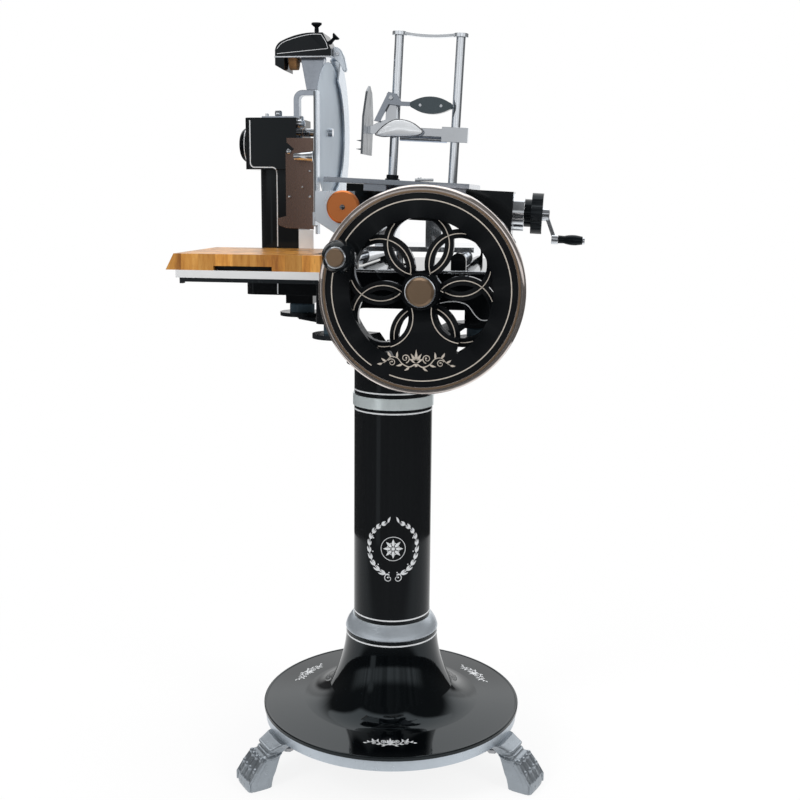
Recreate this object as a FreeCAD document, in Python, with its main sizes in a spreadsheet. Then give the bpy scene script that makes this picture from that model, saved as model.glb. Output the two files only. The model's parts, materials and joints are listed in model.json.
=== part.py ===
"""Flywheel meat slicer on a cast pedestal, one solid per piece of the machine.

Millimetres. +Z is up, the floor is Z = 0 and the pedestal column stands on the Z axis. The operator
stands on the -Y side: the flywheel turns about Y, the blade about X, and the carriage slides along Y.
"""
import FreeCAD, Part

import math
import os

import Sketcher

DOCUMENT = FreeCAD.newDocument("flywheel_slicer")

DIMENSIONS = {
    # pedestal
    "column_radius": 77.0,
    "column_wall": 7.0,
    "column_bottom": 268.0,
    "column_top": 812.0,
    "paw_turn": -21.7,
    "paw_reach": 334.0,
    "paw_width": 64.0,
    "paw_top": 86.0,
    "ring_inner": 209.0,
    "ring_outer": 257.0,
    "ring_height": 22.0,
    "disc_radius": 261.0,
    "disc_edge": 6.0,
    "disc_rise": 5.0,
    "flare_radius": 178.0,
    "waist_radius": 125.0,
    "waist_height": 148.0,
    "bell_top_radius": 92.0,
    "bell_wall": 9.0,
    "lower_ring_radius": 93.5,
    "lower_ring_height": 30.0,
    "band_bottom": 730.5,
    "band_height": 22.0,
    "band_thickness": 2.5,
    "spider_hub_radius": 92.0,
    "spider_hub_height": 30.0,
    "arm_width": 44.0,
    "pad_radius": 47.0,
    "pad_height": 8.0,
    "pad_top": 888.0,
    "tie_rod_radius": 8.0,
    "tie_nut_width": 27.0,
    "tie_nut_height": 14.0,
    # machine feet
    "foot_radius": 26.5,
    "foot_height": 19.0,
    "foot_right": 183.0,
    "foot_front_left": -75.0,
    "foot_rear_left": -226.0,
    "foot_front": -172.0,
    "foot_rear": 184.0,
    "bolt_radius": 6.0,
    # base casting
    "base_left": -112.0,
    "base_right": 213.0,
    "base_front": -205.0,
    "base_rear": 215.0,
    "base_bottom": 938.0,
    "base_top": 1005.0,
    "base_wall": 8.0,
    "base_corner": 18.0,
    "wing_left": -299.0,
    "wing_front": 6.0,
    "leg_width": 58.0,
    "leg_sweep": 34.0,
    "cover_thickness": 3.0,
    # drive
    "wheel_axis_x": 92.0,
    "shaft_axis_z": 979.0,
    "main_shaft_radius": 8.0,
    "cross_shaft_radius": 7.0,
    "bush_wall": 5.0,
    "fit": 0.05,
    "pinion_radius": 17.6,
    "pinion_root": 13.6,
    "pinion_length": 14.0,
    "pinion_teeth": 16.0,
    "crown_radius": 104.0,
    "crown_face": 16.0,
    "crown_height": 14.0,
    "crown_tooth": 4.0,
    "crown_teeth": 60.0,
    "mesh_gap": 0.4,
    "crank_radius": 70.0,
    "crank_pin_radius": 6.0,
    "spindle_radius": 12.0,
    "rod_length": 135.0,
    "rod_thickness": 6.0,
    "rod_width": 16.0,
    "rod_eye": 12.0,
    "wrist_radius": 6.5,
    "stroke_half": 70.0,
    "sprocket_radius": 31.2,
    "sprocket_teeth": 24.0,
    "blade_sprocket_radius": 13.0,
    "blade_sprocket_teeth": 10.0,
    "sprocket_width": 6.0,
    "chain_x": -245.0,
    "chain_thickness": 5.0,
    # blade column and housing
    "blade_axis_y": 55.0,
    "blade_axis_z": 1252.0,
    "column_left": -272.0,
    "column_right": -190.0,
    "column_back": 104.0,
    "column_shell": 6.0,
    "neck_corner": 34.0,
    "housing_left": -293.0,
    "housing_front": -6.0,
    "housing_back": 116.0,
    # heights of the housing and its cap, from the blade's axis
    "housing_bottom": -72.0,
    "housing_top": 25.0,
    "housing_corner": 14.0,
    "end_cap_radius": 34.0,
    "end_cap_height": 21.0,
    "end_cap_z": -24.0,
    # blade
    "blade_x": -139.0,
    "blade_radius": 132.0,
    "blade_thickness": 3.0,
    "blade_shaft_radius": 8.0,
    "blade_hub_radius": 24.0,
    "blade_hub_thickness": 6.0,
    "guard_outer": 167.0,
    "guard_lip": 116.0,
    "guard_sheet": 3.0,
    "guard_left": -152.0,
    "guard_right": -131.0,
    "guard_start": -100.0,
    "guard_end": 62.0,
    # slices side
    "board_left": -355.0,
    "board_right": -113.5,
    "board_nose": -90.0,
    "board_nose_depth": 36.0,
    "board_front": -243.0,
    "board_back": 3.0,
    "board_top": 1030.0,
    "board_thickness": 28.5,
    "board_slant": 15.0,
    "tray_sheet": 2.0,
    "tray_height": 13.5,
    "bracket_height": 7.0,
    "tab_left": -189.0,
    "tab_right": -160.0,
    "tab_top": 1066.0,
    # gauge
    "gauge_front": -106.0,
    "gauge_back": -85.0,
    "gauge_thickness": 4.0,
    "gauge_x": -131.0,
    "gauge_top": 1318.0,
    "gauge_key": 8.0,
    "gauge_slide_z": 1090.0,
    "gauge_box_left": -118.0,
    "gauge_box_right": -56.0,
    "gauge_box_front": -166.0,
    "gauge_box_back": -112.0,
    "gauge_box_bottom": 1062.0,
    "gauge_box_top": 1140.0,
    "dial_x": -66.0,
    "dial_z": 1112.0,
    "dial_radius": 29.0,
    "dial_height": 14.0,
    # carriage
    "guide_left": -48.0,
    "guide_right": 142.0,
    "guide_z": 1023.0,
    "guide_radius": 8.5,
    "carriage_front": -95.0,
    "carriage_back": 105.0,
    "carriage_left": -66.0,
    "carriage_right": 160.0,
    "carriage_plate": 9.0,
    "bearing_radius": 16.0,
    "slide_tilt": 2.5,
    "slide_x": 100.0,
    "slide_y": 25.0,
    "slide_z": 1147.0,
    "slide_half_width": 45.0,
    "slide_height": 62.0,
    "slide_left": 190.0,
    "screw_box_left": 42.0,
    "screw_box_right": 126.0,
    "screw_box_height": 87.0,
    "slide_wall": 8.0,
    "slide_gap": 0.4,
    # table
    "table_left": 216.0,
    "table_right": 50.0,
    "table_half_width": 130.0,
    "table_thickness": 9.0,
    "post_left": -115.0,
    "post_right": 3.0,
    "post_back": 35.0,
    "post_radius": 8.8,
    "post_length": 283.0,
    "crossbar_height": 5.0,
    # feed
    "screw_axis": 38.0,
    "screw_radius": 7.0,
    "nut_x": 80.0,
    "nut_reach": 112.0,
    "ring_radius": 34.6,
    "ring_length": 21.0,
    "collar_radius": 26.0,
    "collar_length": 13.0,
    "feed_wheel_radius": 39.0,
    "feed_wheel_length": 21.0,
    "feed_wheel_lobes": 6,
    "crank_arm": 46.0,
    "crank_offset": 20.0,
    "grip_length": 46.0,
    "grip_radius": 9.5,
    # press
    "press_height": 104.0,
    "claw_x": -171.0,
    "claw_thickness": 4.0,
    "claw_half_width": 52.0,
    "claw_top": 186.0,
    "claw_bottom": 56.0,
    "lever_pivot_x": -122.0,
    "lever_pivot_height": 164.0,
    # flywheel
    "wheel_y": -300.0,
    "wheel_radius": 172.0,
    "wheel_depth": 38.0,
    "rim_band": 13.0,
    "opening_radius": 119.0,
    "petal_circle": 76.5,
    "petal_outer": 58.5,
    "petal_inner": 43.5,
    "petal_depth": 15.0,
    "petal_turn": 4.5,
    "apron_half_width": 52.0,
    "petal_count": 6,
    "hub_radius": 30.0,
    "cap_radius": 23.5,
    "cap_height": 9.0,
    # the knob's axis, from the left end of the rim and from the wheel's axis
    "knob_x": 41.0,
    "knob_z": 55.6,
    "knob_radius": 27.5,
    "knob_length": 52.0,
    "knob_bolt_radius": 6.0,
    "knob_bolt_head": 13.0,
    # sharpener and deflector
    "sharpener_y": 55.0,
    "sharpener_left": -237.0,
    "sharpener_right": -128.0,
    # the sharpener's heights, from the top of the blade's edge
    "sharpener_bottom": 7.0,
    "sharpener_top": 51.0,
    "sharpener_half_width": 34.0,
    "stone_radius": 17.0,
    "stone_width": 15.0,
    "stone_left": -218.0,
    "top_knob_radius": 10.0,
    "side_knob_radius": 8.0,
    "strap_thickness": 10.0,
    "strap_foot": 6.0,
    "strap_right": -197.0,
    "strap_width": 22.0,
    "deflector_front": -66.0,
    "deflector_left": -212.0,
    "deflector_right": -143.0,
    # heights of the deflector, from the blade's axis
    "deflector_bottom": -183.0,
    "deflector_top": -16.0,
    "deflector_sheet": 2.5,
}


class Size:
    """A length of the sheet, or what follows from such lengths, as a number and as an expression."""

    def __init__(self, number, text):
        self.number = number
        self.text = text

    def __float__(self):
        return self.number

    def __add__(self, other):
        other = as_size(other)
        return Size(self.number + other.number, f"({self.text} + {other.text})")

    def __radd__(self, other):
        return as_size(other) + self

    def __sub__(self, other):
        other = as_size(other)
        return Size(self.number - other.number, f"({self.text} - {other.text})")

    def __rsub__(self, other):
        return as_size(other) - self

    def __mul__(self, other):
        other = as_size(other)
        return Size(self.number * other.number, f"({self.text} * {other.text})")

    def __rmul__(self, other):
        return as_size(other) * self

    def __truediv__(self, other):
        other = as_size(other)
        return Size(self.number / other.number, f"({self.text} / {other.text})")

    def __neg__(self):
        return 0 - self


def as_size(value):
    """The value as a Size, so that plain numbers and sheet lengths mix."""
    return value if isinstance(value, Size) else Size(float(value), f"({float(value)})")


def cosine(angle):
    return Size(math.cos(math.radians(float(angle))), f"cos({as_size(angle).text})")


def sine(angle):
    return Size(math.sin(math.radians(float(angle))), f"sin({as_size(angle).text})")


class Sheet:
    """The spreadsheet of driving dimensions; each one is an attribute of this object."""

    def __init__(self, dimensions):
        table = DOCUMENT.addObject("Spreadsheet::Sheet", "sizes")
        for row, (alias, number) in enumerate(dimensions.items(), start=1):
            table.set(f"A{row}", alias)
            table.set(f"B{row}", str(number))
            table.setAlias(f"B{row}", alias)
            setattr(self, alias, Size(number, f"sizes.{alias}"))
        DOCUMENT.recompute()


S = Sheet(DIMENSIONS)
PIECES = []


def bind(item, **properties):
    """Ties each named property of an object to its size."""
    for name, size in properties.items():
        item.setExpression(name, as_size(size).text)


def place(item, x=0, y=0, z=0, axis=(0, 0, 1), turn=0):
    """Places an object: its base follows the sizes, and it is turned about one axis."""
    base = FreeCAD.Vector(float(x), float(y), float(z))
    item.Placement = FreeCAD.Placement(base, FreeCAD.Rotation(FreeCAD.Vector(*axis), float(turn)))
    for letter, size in zip("xyz", (x, y, z)):
        item.setExpression(f"Placement.Base.{letter}", as_size(size).text)
    if isinstance(turn, Size):
        item.setExpression("Placement.Rotation.Angle", turn.text)
    return item


def box(x, y, z, length, width, height):
    """A block from its lowest corner."""
    item = DOCUMENT.addObject("Part::Box", "block")
    bind(item, Length=length, Width=width, Height=height)
    return place(item, x, y, z)


AXIS_TURNS = {"z": ((0, 0, 1), 0), "x": ((0, 1, 0), 90), "y": ((1, 0, 0), -90)}


def rod(axis, radius, length, x=0, y=0, z=0):
    """A round bar that starts at a point and runs along +X, +Y or +Z."""
    item = DOCUMENT.addObject("Part::Cylinder", "rod")
    bind(item, Radius=radius, Height=length)
    direction, turn = AXIS_TURNS[axis]
    return place(item, x, y, z, direction, turn)


def cone(axis, radius, end_radius, length, x=0, y=0, z=0):
    """A tapered round bar that starts at a point and runs along +X, +Y or +Z."""
    item = DOCUMENT.addObject("Part::Cone", "cone")
    bind(item, Radius1=radius, Radius2=end_radius, Height=length)
    direction, turn = AXIS_TURNS[axis]
    return place(item, x, y, z, direction, turn)


def fuse(*items):
    """One object joined from several."""
    joined = DOCUMENT.addObject("Part::MultiFuse", "joined")
    joined.Shapes = list(items)
    joined.Refine = True
    return joined


def cut(item, *tools):
    """An object with one or more others taken out of it."""
    for tool in tools:
        result = DOCUMENT.addObject("Part::Cut", "cut")
        result.Base = item
        result.Tool = tool
        result.Refine = True
        item = result
    return item


def common(item, other):
    """What two objects share."""
    result = DOCUMENT.addObject("Part::Common", "common")
    result.Base = item
    result.Tool = other
    return result


def group(*items):
    """Several separate solids kept as one piece of the list."""
    compound = DOCUMENT.addObject("Part::Compound", "set")
    compound.Links = list(items)
    return compound


def rounded(item, radius, wanted):
    """An object with those of its edges rounded that the test accepts."""
    DOCUMENT.recompute()
    fillet = DOCUMENT.addObject("Part::Fillet", "rounded")
    fillet.Base = item
    edges = enumerate(item.Shape.Edges, start=1)
    fillet.Edges = [(number, float(radius), float(radius)) for number, edge in edges if wanted(edge)]
    return fillet


def shaped(shape, x=0, y=0, z=0, axis=(0, 0, 1), turn=0):
    """A shape worked out in code, as an object with a placement of its own."""
    item = DOCUMENT.addObject("Part::Feature", "shaped")
    item.Shape = shape
    return place(item, x, y, z, axis, turn)


def vertical(edge):
    """Whether an edge is a straight line along Z."""
    if not isinstance(edge.Curve, Part.Line):
        return False
    return abs(edge.Curve.Direction.z) > 0.999


def sketch(body, role, path):
    """A closed outline on one of the body's own planes.

    The path lists corners as (x, y), and arcs as (x, y, radius) for the arc that ends at that corner:
    a positive radius bulges to the right of the way along, a negative one to the left.
    """
    drawing = body.newObject("Sketcher::SketchObject", "outline")
    plane = next(item for item in body.Origin.OriginFeatures if item.Role == role)
    drawing.AttachmentSupport = [(plane, "")]
    drawing.MapMode = "FlatFace"
    corners = [FreeCAD.Vector(float(point[0]), float(point[1]), 0) for point in path]
    heads = []
    for number, point in enumerate(path):
        start = corners[number - 1]
        end = corners[number]
        if len(point) == 2:
            drawing.addGeometry(Part.LineSegment(start, end), False)
            heads.append(2)
            continue
        radius = float(point[2])
        chord = end - start
        side = FreeCAD.Vector(chord.y, -chord.x, 0).normalize()
        sagitta_leg = math.sqrt(radius * radius - chord.Length * chord.Length / 4)
        centre = (start + end) * 0.5 - side * math.copysign(sagitta_leg, radius)
        from_centre = (end, start) if radius < 0 else (start, end)
        angles = [math.atan2(spot.y - centre.y, spot.x - centre.x) for spot in from_centre]
        circle = Part.Circle(centre, FreeCAD.Vector(0, 0, 1), abs(radius))
        drawing.addGeometry(Part.ArcOfCircle(circle, angles[0], angles[1]), False)
        heads.append(1 if radius < 0 else 2)
        size = as_size(point[2])
        limit = Sketcher.Constraint("Radius", number, abs(radius))
        row = drawing.addConstraint(limit)
        drawing.setExpression(f"Constraints[{row}]", f"abs({size.text})")
    for number, point in enumerate(path):
        following = (number + 1) % len(path)
        tail = 3 - heads[following]
        drawing.addConstraint(Sketcher.Constraint("Coincident", number, heads[number], following, tail))
        for kind, size in (("DistanceX", point[0]), ("DistanceY", point[1])):
            limit = Sketcher.Constraint(kind, -1, 1, number, heads[number], float(size))
            row = drawing.addConstraint(limit)
            drawing.setExpression(f"Constraints[{row}]", as_size(size).text)
    return drawing


def turned(profile, x=0, y=0, z=0, axis="z"):
    """A body turned about its own Z axis from an outline of (radius, height) corners."""
    body = DOCUMENT.addObject("PartDesign::Body", "turned")
    outline = sketch(body, "XZ_Plane", profile)
    revolution = body.newObject("PartDesign::Revolution", "revolution")
    revolution.Profile = outline
    revolution.ReferenceAxis = (outline, ["V_Axis"])
    revolution.Angle = 360
    direction, turn = AXIS_TURNS[axis]
    return place(body, x, y, z, direction, turn)


PLATE_TURNS = {"z": ("XY_Plane", False), "y": ("XZ_Plane", True), "x": ("YZ_Plane", False)}


def plate(normal, path, thickness, x=0, y=0, z=0, axis=(0, 0, 1), turn=0):
    """A body padded along +X, +Y or +Z from an outline in the plane across that axis."""
    body = DOCUMENT.addObject("PartDesign::Body", "plate")
    role, backwards = PLATE_TURNS[normal]
    pad = body.newObject("PartDesign::Pad", "pad")
    pad.Profile = sketch(body, role, path)
    pad.setExpression("Length", as_size(thickness).text)
    pad.Reversed = backwards
    return place(body, x, y, z, axis, turn)


def piece(name, item):
    """Lists a finished object as a piece of the machine, under its own label."""
    item.Label = name
    PIECES.append(item)
    return item


def ring_profile(inner, outer, height):
    """The outline of a flat ring."""
    return [(inner, 0), (outer, 0), (outer, height), (inner, height)]


def on_slide(across, along, above):
    """The place of a point of the cross slide, which leans down to the right by its tilt."""
    lean_cosine = cosine(S.slide_tilt)
    lean_sine = sine(S.slide_tilt)
    x = S.slide_x + across * lean_cosine + above * lean_sine
    z = S.slide_z - across * lean_sine + above * lean_cosine
    return x, S.slide_y + along, z


def leaned(item, across=0, along=0, above=0):
    """Puts an object drawn in the cross slide's own frame where the tilted slide carries it."""
    x, y, z = on_slide(as_size(across), as_size(along), as_size(above))
    holder = DOCUMENT.addObject("Part::Compound", "leaned")
    holder.Links = [item]
    return place(holder, x, y, z, (0, 1, 0), S.slide_tilt)


def ring(inner, outer, height, z):
    """A flat ring about the column's axis."""
    return turned(ring_profile(inner, outer, height), z=z)


def hexagon(radius, height, x, y, z):
    """A hexagonal prism, as of a nut or bolt head."""
    item = DOCUMENT.addObject("Part::Prism", "hexagon")
    item.Polygon = 6
    bind(item, Circumradius=radius, Height=height)
    return place(item, x, y, z)


HOUSING_BOTTOM = S.blade_axis_z + S.housing_bottom
HOUSING_TOP = S.blade_axis_z + S.housing_top
END_CAP_Z = S.blade_axis_z + S.end_cap_z
DEFLECTOR_BOTTOM = S.blade_axis_z + S.deflector_bottom
DEFLECTOR_TOP = S.blade_axis_z + S.deflector_top


# ---------------------------------------------------------------- pedestal

RING_TOP = S.paw_top + S.ring_height
DISC_TOP = RING_TOP + S.disc_edge
PAW_BOLT_CIRCLE = (S.ring_inner + S.ring_outer) / 2
BOLT_HEAD = 7


def paw_angles():
    """The three directions in which the paws point, 120 degrees apart."""
    return [S.paw_turn + 120 * number for number in range(3)]


def paw_bolt_holes(bottom, height):
    """Three round tools where the paw bolts pass."""
    holes = []
    for angle in paw_angles():
        x = PAW_BOLT_CIRCLE * cosine(angle)
        y = PAW_BOLT_CIRCLE * sine(angle)
        holes.append(rod("z", S.bolt_radius + S.fit, height, x, y, bottom))
    return holes


def paw_feet():
    """Three lion paws: a curved leg under the ring and a broad toe block on the floor."""
    seat = S.ring_inner + 4
    arch_height = S.paw_top - 26
    heel = S.paw_reach - 64
    profile = [
        (seat, S.paw_top),
        (seat, arch_height),
        (seat + 32, arch_height),
        (heel, 22, -60),
        (heel, 0),
        (S.paw_reach, 0),
        (S.paw_reach - 4, 30, 24),
        (S.paw_reach - 44, 60, 60),
        (S.ring_outer + 4, S.paw_top, -70),
    ]
    feet = []
    for angle in paw_angles():
        x = S.paw_width / 2 * sine(angle)
        y = -S.paw_width / 2 * cosine(angle)
        leg = plate("y", profile, S.paw_width, x, y, 0, (0, 0, 1), angle)
        feet.append(leg)
    drilled = [cut(foot, hole) for foot, hole in zip(feet, paw_bolt_holes(0, S.paw_top + 1))]
    return piece("paw_feet", group(*drilled))


def hexagon_bolt(x, y, bottom, grip):
    """A bolt standing upright: its head hangs below the height given and its shank rises by the grip."""
    head = hexagon(S.bolt_radius * 1.8, BOLT_HEAD, x, y, bottom - BOLT_HEAD)
    return fuse(head, rod("z", S.bolt_radius, grip, x, y, bottom))


def bolts():
    """Seven bolts: one through each paw and the ring into the disc, one through each pad into a leg."""
    arch_height = S.paw_top - 26
    items = []
    for angle in paw_angles():
        x = PAW_BOLT_CIRCLE * cosine(angle)
        y = PAW_BOLT_CIRCLE * sine(angle)
        items.append(hexagon_bolt(x, y, arch_height, DISC_TOP - 2 - arch_height))
    for x, y in foot_spots():
        items.append(hexagon_bolt(x, y, PAD_BOTTOM, S.pad_height + S.foot_height + BOLT_REACH))
    return piece("bolts", group(*items))


def foot_ring():
    body = ring(S.ring_inner, S.ring_outer, S.ring_height, S.paw_top)
    return piece("foot_ring", cut(body, *paw_bolt_holes(S.paw_top - 1, S.ring_height + 2)))


def base_bell():
    """The round disc with its hollow bell, cast in one, closed on top round the tie rod."""
    web = S.column_bottom - 12
    hole = S.tie_rod_radius + 0.5
    profile = [
        (S.disc_radius, RING_TOP),
        (S.disc_radius, DISC_TOP),
        (S.flare_radius, DISC_TOP + S.disc_rise),
        (S.waist_radius, S.waist_height, -80),
        (S.bell_top_radius, S.column_bottom, -250),
        (hole, S.column_bottom),
        (hole, web),
        (S.bell_top_radius - S.bell_wall, web),
        (S.waist_radius - S.bell_wall, S.waist_height - 4, 259),
        (S.flare_radius - S.bell_wall, RING_TOP, 89),
    ]
    body = turned(profile)
    return piece("base_bell", cut(body, *paw_bolt_holes(RING_TOP - 1, S.disc_edge - 1 + S.fit)))


def lower_ring():
    """The ring round the foot of the column: widest near its bottom, rounded over to the column on top."""
    inner = S.column_radius + S.fit
    outer = S.lower_ring_radius
    profile = [
        (inner, 0),
        (outer - 3, 0),
        (outer, 4, 4),
        (inner + 1.5, S.lower_ring_height, 50),
        (inner, S.lower_ring_height),
    ]
    return piece("lower_ring", turned(profile, z=S.column_bottom))


def column_tube():
    body = ring(S.column_radius - S.column_wall, S.column_radius, S.column_top - S.column_bottom, S.column_bottom)
    return piece("column_tube", body)


def top_band():
    body = ring(S.column_radius + S.fit, S.column_radius + S.band_thickness, S.band_height, S.band_bottom)
    return piece("top_band", body)


def foot_spots():
    """Where the four machine feet stand: front right, front left, rear right and rear left."""
    return [
        (S.foot_right, S.foot_front),
        (S.foot_front_left, S.foot_front),
        (S.foot_right, S.foot_rear),
        (S.foot_rear_left, S.foot_rear),
    ]


def bearing(x, y):
    """The direction of a point seen from the column's axis, and its distance."""
    angle = math.degrees(math.atan2(float(y), float(x)))
    distance = math.hypot(float(x), float(y))
    x_text = as_size(x).text
    y_text = as_size(y).text
    return Size(angle, f"(atan2({y_text}; {x_text}))"), Size(distance, f"hypot({x_text}; {y_text})")


PAD_BOTTOM = S.pad_top - S.pad_height
HUB_TOP = S.column_top + S.spider_hub_height


def spider():
    """The casting on top of the column: a hub with a spigot and four rising arms that end in round pads."""
    spigot = S.column_radius - S.column_wall - S.fit
    parts = [
        rod("z", S.spider_hub_radius, S.spider_hub_height, z=S.column_top),
        rod("z", spigot, 22, z=S.column_top - 22),
    ]
    holes = [rod("z", S.tie_rod_radius + 0.5, S.spider_hub_height + 30, z=S.column_top - 26)]
    for x, y in foot_spots():
        angle, distance = bearing(x, y)
        reach = distance - S.pad_radius / 3
        knee = distance - S.pad_radius * 2
        profile = [
            (40, S.column_top),
            (knee, PAD_BOTTOM - 8),
            (reach, PAD_BOTTOM - 6),
            (reach, PAD_BOTTOM + 1),
            (knee - 10, PAD_BOTTOM + 1),
            (40, HUB_TOP),
        ]
        arm_x = S.arm_width / 2 * sine(angle)
        arm_y = -S.arm_width / 2 * cosine(angle)
        parts.append(plate("y", profile, S.arm_width, arm_x, arm_y, 0, (0, 0, 1), angle))
        parts.append(rod("z", S.pad_radius, S.pad_height, x, y, PAD_BOTTOM))
        holes.append(rod("z", S.bolt_radius + S.fit, S.pad_height + 2, x, y, PAD_BOTTOM - 1))
    return piece("spider", cut(fuse(*parts), *holes))


def tie_rod():
    """The long rod that pulls spider, column and bell together, with its two nuts."""
    web = S.column_bottom - 12
    lower = web - S.tie_nut_height
    bar = rod("z", S.tie_rod_radius, HUB_TOP + 22 - lower + 8, z=lower - 8)
    nuts = []
    for bottom in (lower, HUB_TOP):
        nut = hexagon(S.tie_nut_width / 2, S.tie_nut_height, 0, 0, bottom)
        nuts.append(cut(nut, rod("z", S.tie_rod_radius + S.fit, S.tie_nut_height + 2, z=bottom - 1)))
    return piece("tie_rod", group(bar, *nuts))


# ---------------------------------------------------------------- base of the machine

LEG_BOTTOM = S.pad_top + S.foot_height
BOLT_REACH = 20

def machine_feet():
    """Four round pads between the pedestal's arms and the legs of the casting."""
    feet = []
    for x, y in foot_spots():
        rim = 3
        profile = [
            (S.bolt_radius + S.fit, 0),
            (S.foot_radius, 0),
            (S.foot_radius, S.foot_height - rim),
            (S.foot_radius - rim, S.foot_height),
            (S.bolt_radius + S.fit, S.foot_height),
        ]
        feet.append(turned(profile, x, y, S.pad_top))
    return piece("machine_feet", group(*feet))


CROWN_X = S.wheel_axis_x
CROWN_Y = S.blade_axis_y
CROWN_TOP = S.shaft_axis_z - S.pinion_radius - S.mesh_gap
CROWN_BOTTOM = CROWN_TOP - S.crown_tooth - S.crown_height
WRIST_X = CROWN_X - S.crank_radius
WRIST_Y = CROWN_Y - S.rod_length
BUSH_RADIUS = S.main_shaft_radius + S.bush_wall
CROSS_BUSH_RADIUS = S.cross_shaft_radius + S.bush_wall
FRONT_BOSS = 16
REAR_BOSS = 12


def rounded_plan(left, right, front, back, corner):
    """A rectangle with rounded corners, seen from above."""
    return [
        (right - corner, front),
        (right, front + corner, corner),
        (right, back - corner),
        (right - corner, back, corner),
        (left + corner, back),
        (left, back - corner, corner),
        (left, front + corner),
        (left + corner, front, corner),
    ]


def casting_plan():
    """The outline of the base casting from above: the main box and the wing behind its left side."""
    corner = S.base_corner
    return [
        (S.base_right - corner, S.base_front),
        (S.base_right, S.base_front + corner, corner),
        (S.base_right, S.base_rear - corner),
        (S.base_right - corner, S.base_rear, corner),
        (S.wing_left + corner, S.base_rear),
        (S.wing_left, S.base_rear - corner, corner),
        (S.wing_left, S.wing_front + corner),
        (S.wing_left + corner, S.wing_front, corner),
        (S.base_left, S.wing_front),
        (S.base_left, S.base_front + corner),
        (S.base_left + corner, S.base_front, corner),
    ]


def leg_sweep(inner, side, wall_front):
    """The curved gusset in the wall beside a leg, from the leg's inner face to the wall's lower edge."""
    outline = [
        (inner - side * 2, S.base_bottom + 2),
        (inner - side * 2, LEG_BOTTOM),
        (inner, LEG_BOTTOM),
        (inner + side * S.leg_sweep, S.base_bottom, side * S.leg_sweep * -1),
        (inner + side * S.leg_sweep, S.base_bottom + 2),
    ]
    return plate("y", outline, S.base_wall, 0, wall_front, 0)


def casting_legs():
    """Four hollow-backed legs under the corners, with their gussets."""
    drop = S.base_bottom - LEG_BOTTOM
    blocks = []
    gussets = []
    corners = [
        (S.base_right, -1, S.base_front, 1),
        (S.base_left, 1, S.base_front, 1),
        (S.base_right, -1, S.base_rear, -1),
        (S.foot_rear_left - S.leg_width / 2, 1, S.base_rear, -1),
    ]
    for corner_x, side, corner_y, inward in corners:
        left = corner_x if side > 0 else corner_x - S.leg_width
        front = corner_y if inward > 0 else corner_y - S.leg_width
        blocks.append(box(left, front, LEG_BOTTOM, S.leg_width, S.leg_width, drop))
        wall_front = corner_y if inward > 0 else corner_y - S.base_wall
        gussets.append(leg_sweep(corner_x + side * S.leg_width, side, wall_front))
    footprint = plate("z", casting_plan(), drop, 0, 0, LEG_BOTTOM)
    return [common(footprint, fuse(*blocks)), *gussets]


GUIDE_STAND = 13


def guide_rod(x, extra):
    """One round guide, or the tool for its bore."""
    start = S.base_front + 7
    return rod("y", S.guide_radius + extra, S.base_rear - 2 - start, x, start, S.guide_z)


def guide_stands():
    """Four domed brackets on top of the casting, for the ends of the guide rods."""
    stands = []
    for x in (S.guide_left, S.guide_right):
        for y in (S.base_front + 5, S.base_rear - 15):
            stands.append(rod("y", GUIDE_STAND, 15, x, y, S.guide_z))
            stands.append(box(x - GUIDE_STAND, y, S.base_top - 1, 2 * GUIDE_STAND, 15, S.guide_z - S.base_top + 1))
    return stands


def base_casting():
    """The hollow casting that carries the machine: a main box, a wing under the blade column and four legs."""
    wall = S.base_wall
    depth = S.base_rear - S.base_front
    height = S.base_top - S.base_bottom
    inner_corner = S.base_corner - wall
    outside = plate("z", casting_plan(), height, 0, 0, S.base_bottom)
    main_plan = rounded_plan(S.base_left + wall, S.base_right - wall, S.base_front + wall, S.base_rear - wall,
                             inner_corner)
    wing_plan = rounded_plan(S.wing_left + wall, S.base_left, S.wing_front + wall, S.base_rear - wall, inner_corner)
    hollows = [plate("z", plan, height - wall + 3, 0, 0, S.base_bottom - 3) for plan in (main_plan, wing_plan)]
    front_boss = rod("y", BUSH_RADIUS + 9, FRONT_BOSS + wall, S.wheel_axis_x, S.base_front - FRONT_BOSS,
                     S.shaft_axis_z)
    bosses = [
        front_boss,
        rod("y", BUSH_RADIUS + 8, REAR_BOSS + wall, S.wheel_axis_x, S.base_rear - REAR_BOSS - wall, S.shaft_axis_z),
        rod("x", CROSS_BUSH_RADIUS + 8, REAR_BOSS + wall, S.base_left - REAR_BOSS, CROWN_Y, S.shaft_axis_z),
        rod("x", CROSS_BUSH_RADIUS + 8, REAR_BOSS + wall, S.wing_left, CROWN_Y, S.shaft_axis_z),
    ]
    slot_half = S.wrist_radius + 2.5
    slot_reach = S.stroke_half + S.wrist_radius + 4
    tools = [
        rod("y", BUSH_RADIUS + S.fit, depth + 2 * FRONT_BOSS, S.wheel_axis_x, S.base_front - FRONT_BOSS - 1,
            S.shaft_axis_z),
        rod("x", CROSS_BUSH_RADIUS + S.fit, S.base_left - S.wing_left + wall + 2, S.wing_left - 1, CROWN_Y,
            S.shaft_axis_z),
        box(WRIST_X - slot_half, WRIST_Y - slot_reach, S.base_top - wall - 1, 2 * slot_half, 2 * slot_reach, wall + 2),
        box(S.chain_x - 14, CROWN_Y - 40, S.base_top - wall - 1, 28, 80, wall + 2),
    ]
    for x, y in foot_spots():
        tools.append(rod("z", S.bolt_radius + S.fit, BOLT_REACH + 1, x, y, LEG_BOTTOM - 0.5))
    tools += [guide_rod(x, S.fit) for x in (S.guide_left, S.guide_right)]
    body = cut(outside, *hollows)
    solids = fuse(body, *casting_legs(), *bosses, *guide_stands())
    return piece("base_casting", cut(solids, *tools))


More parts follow.
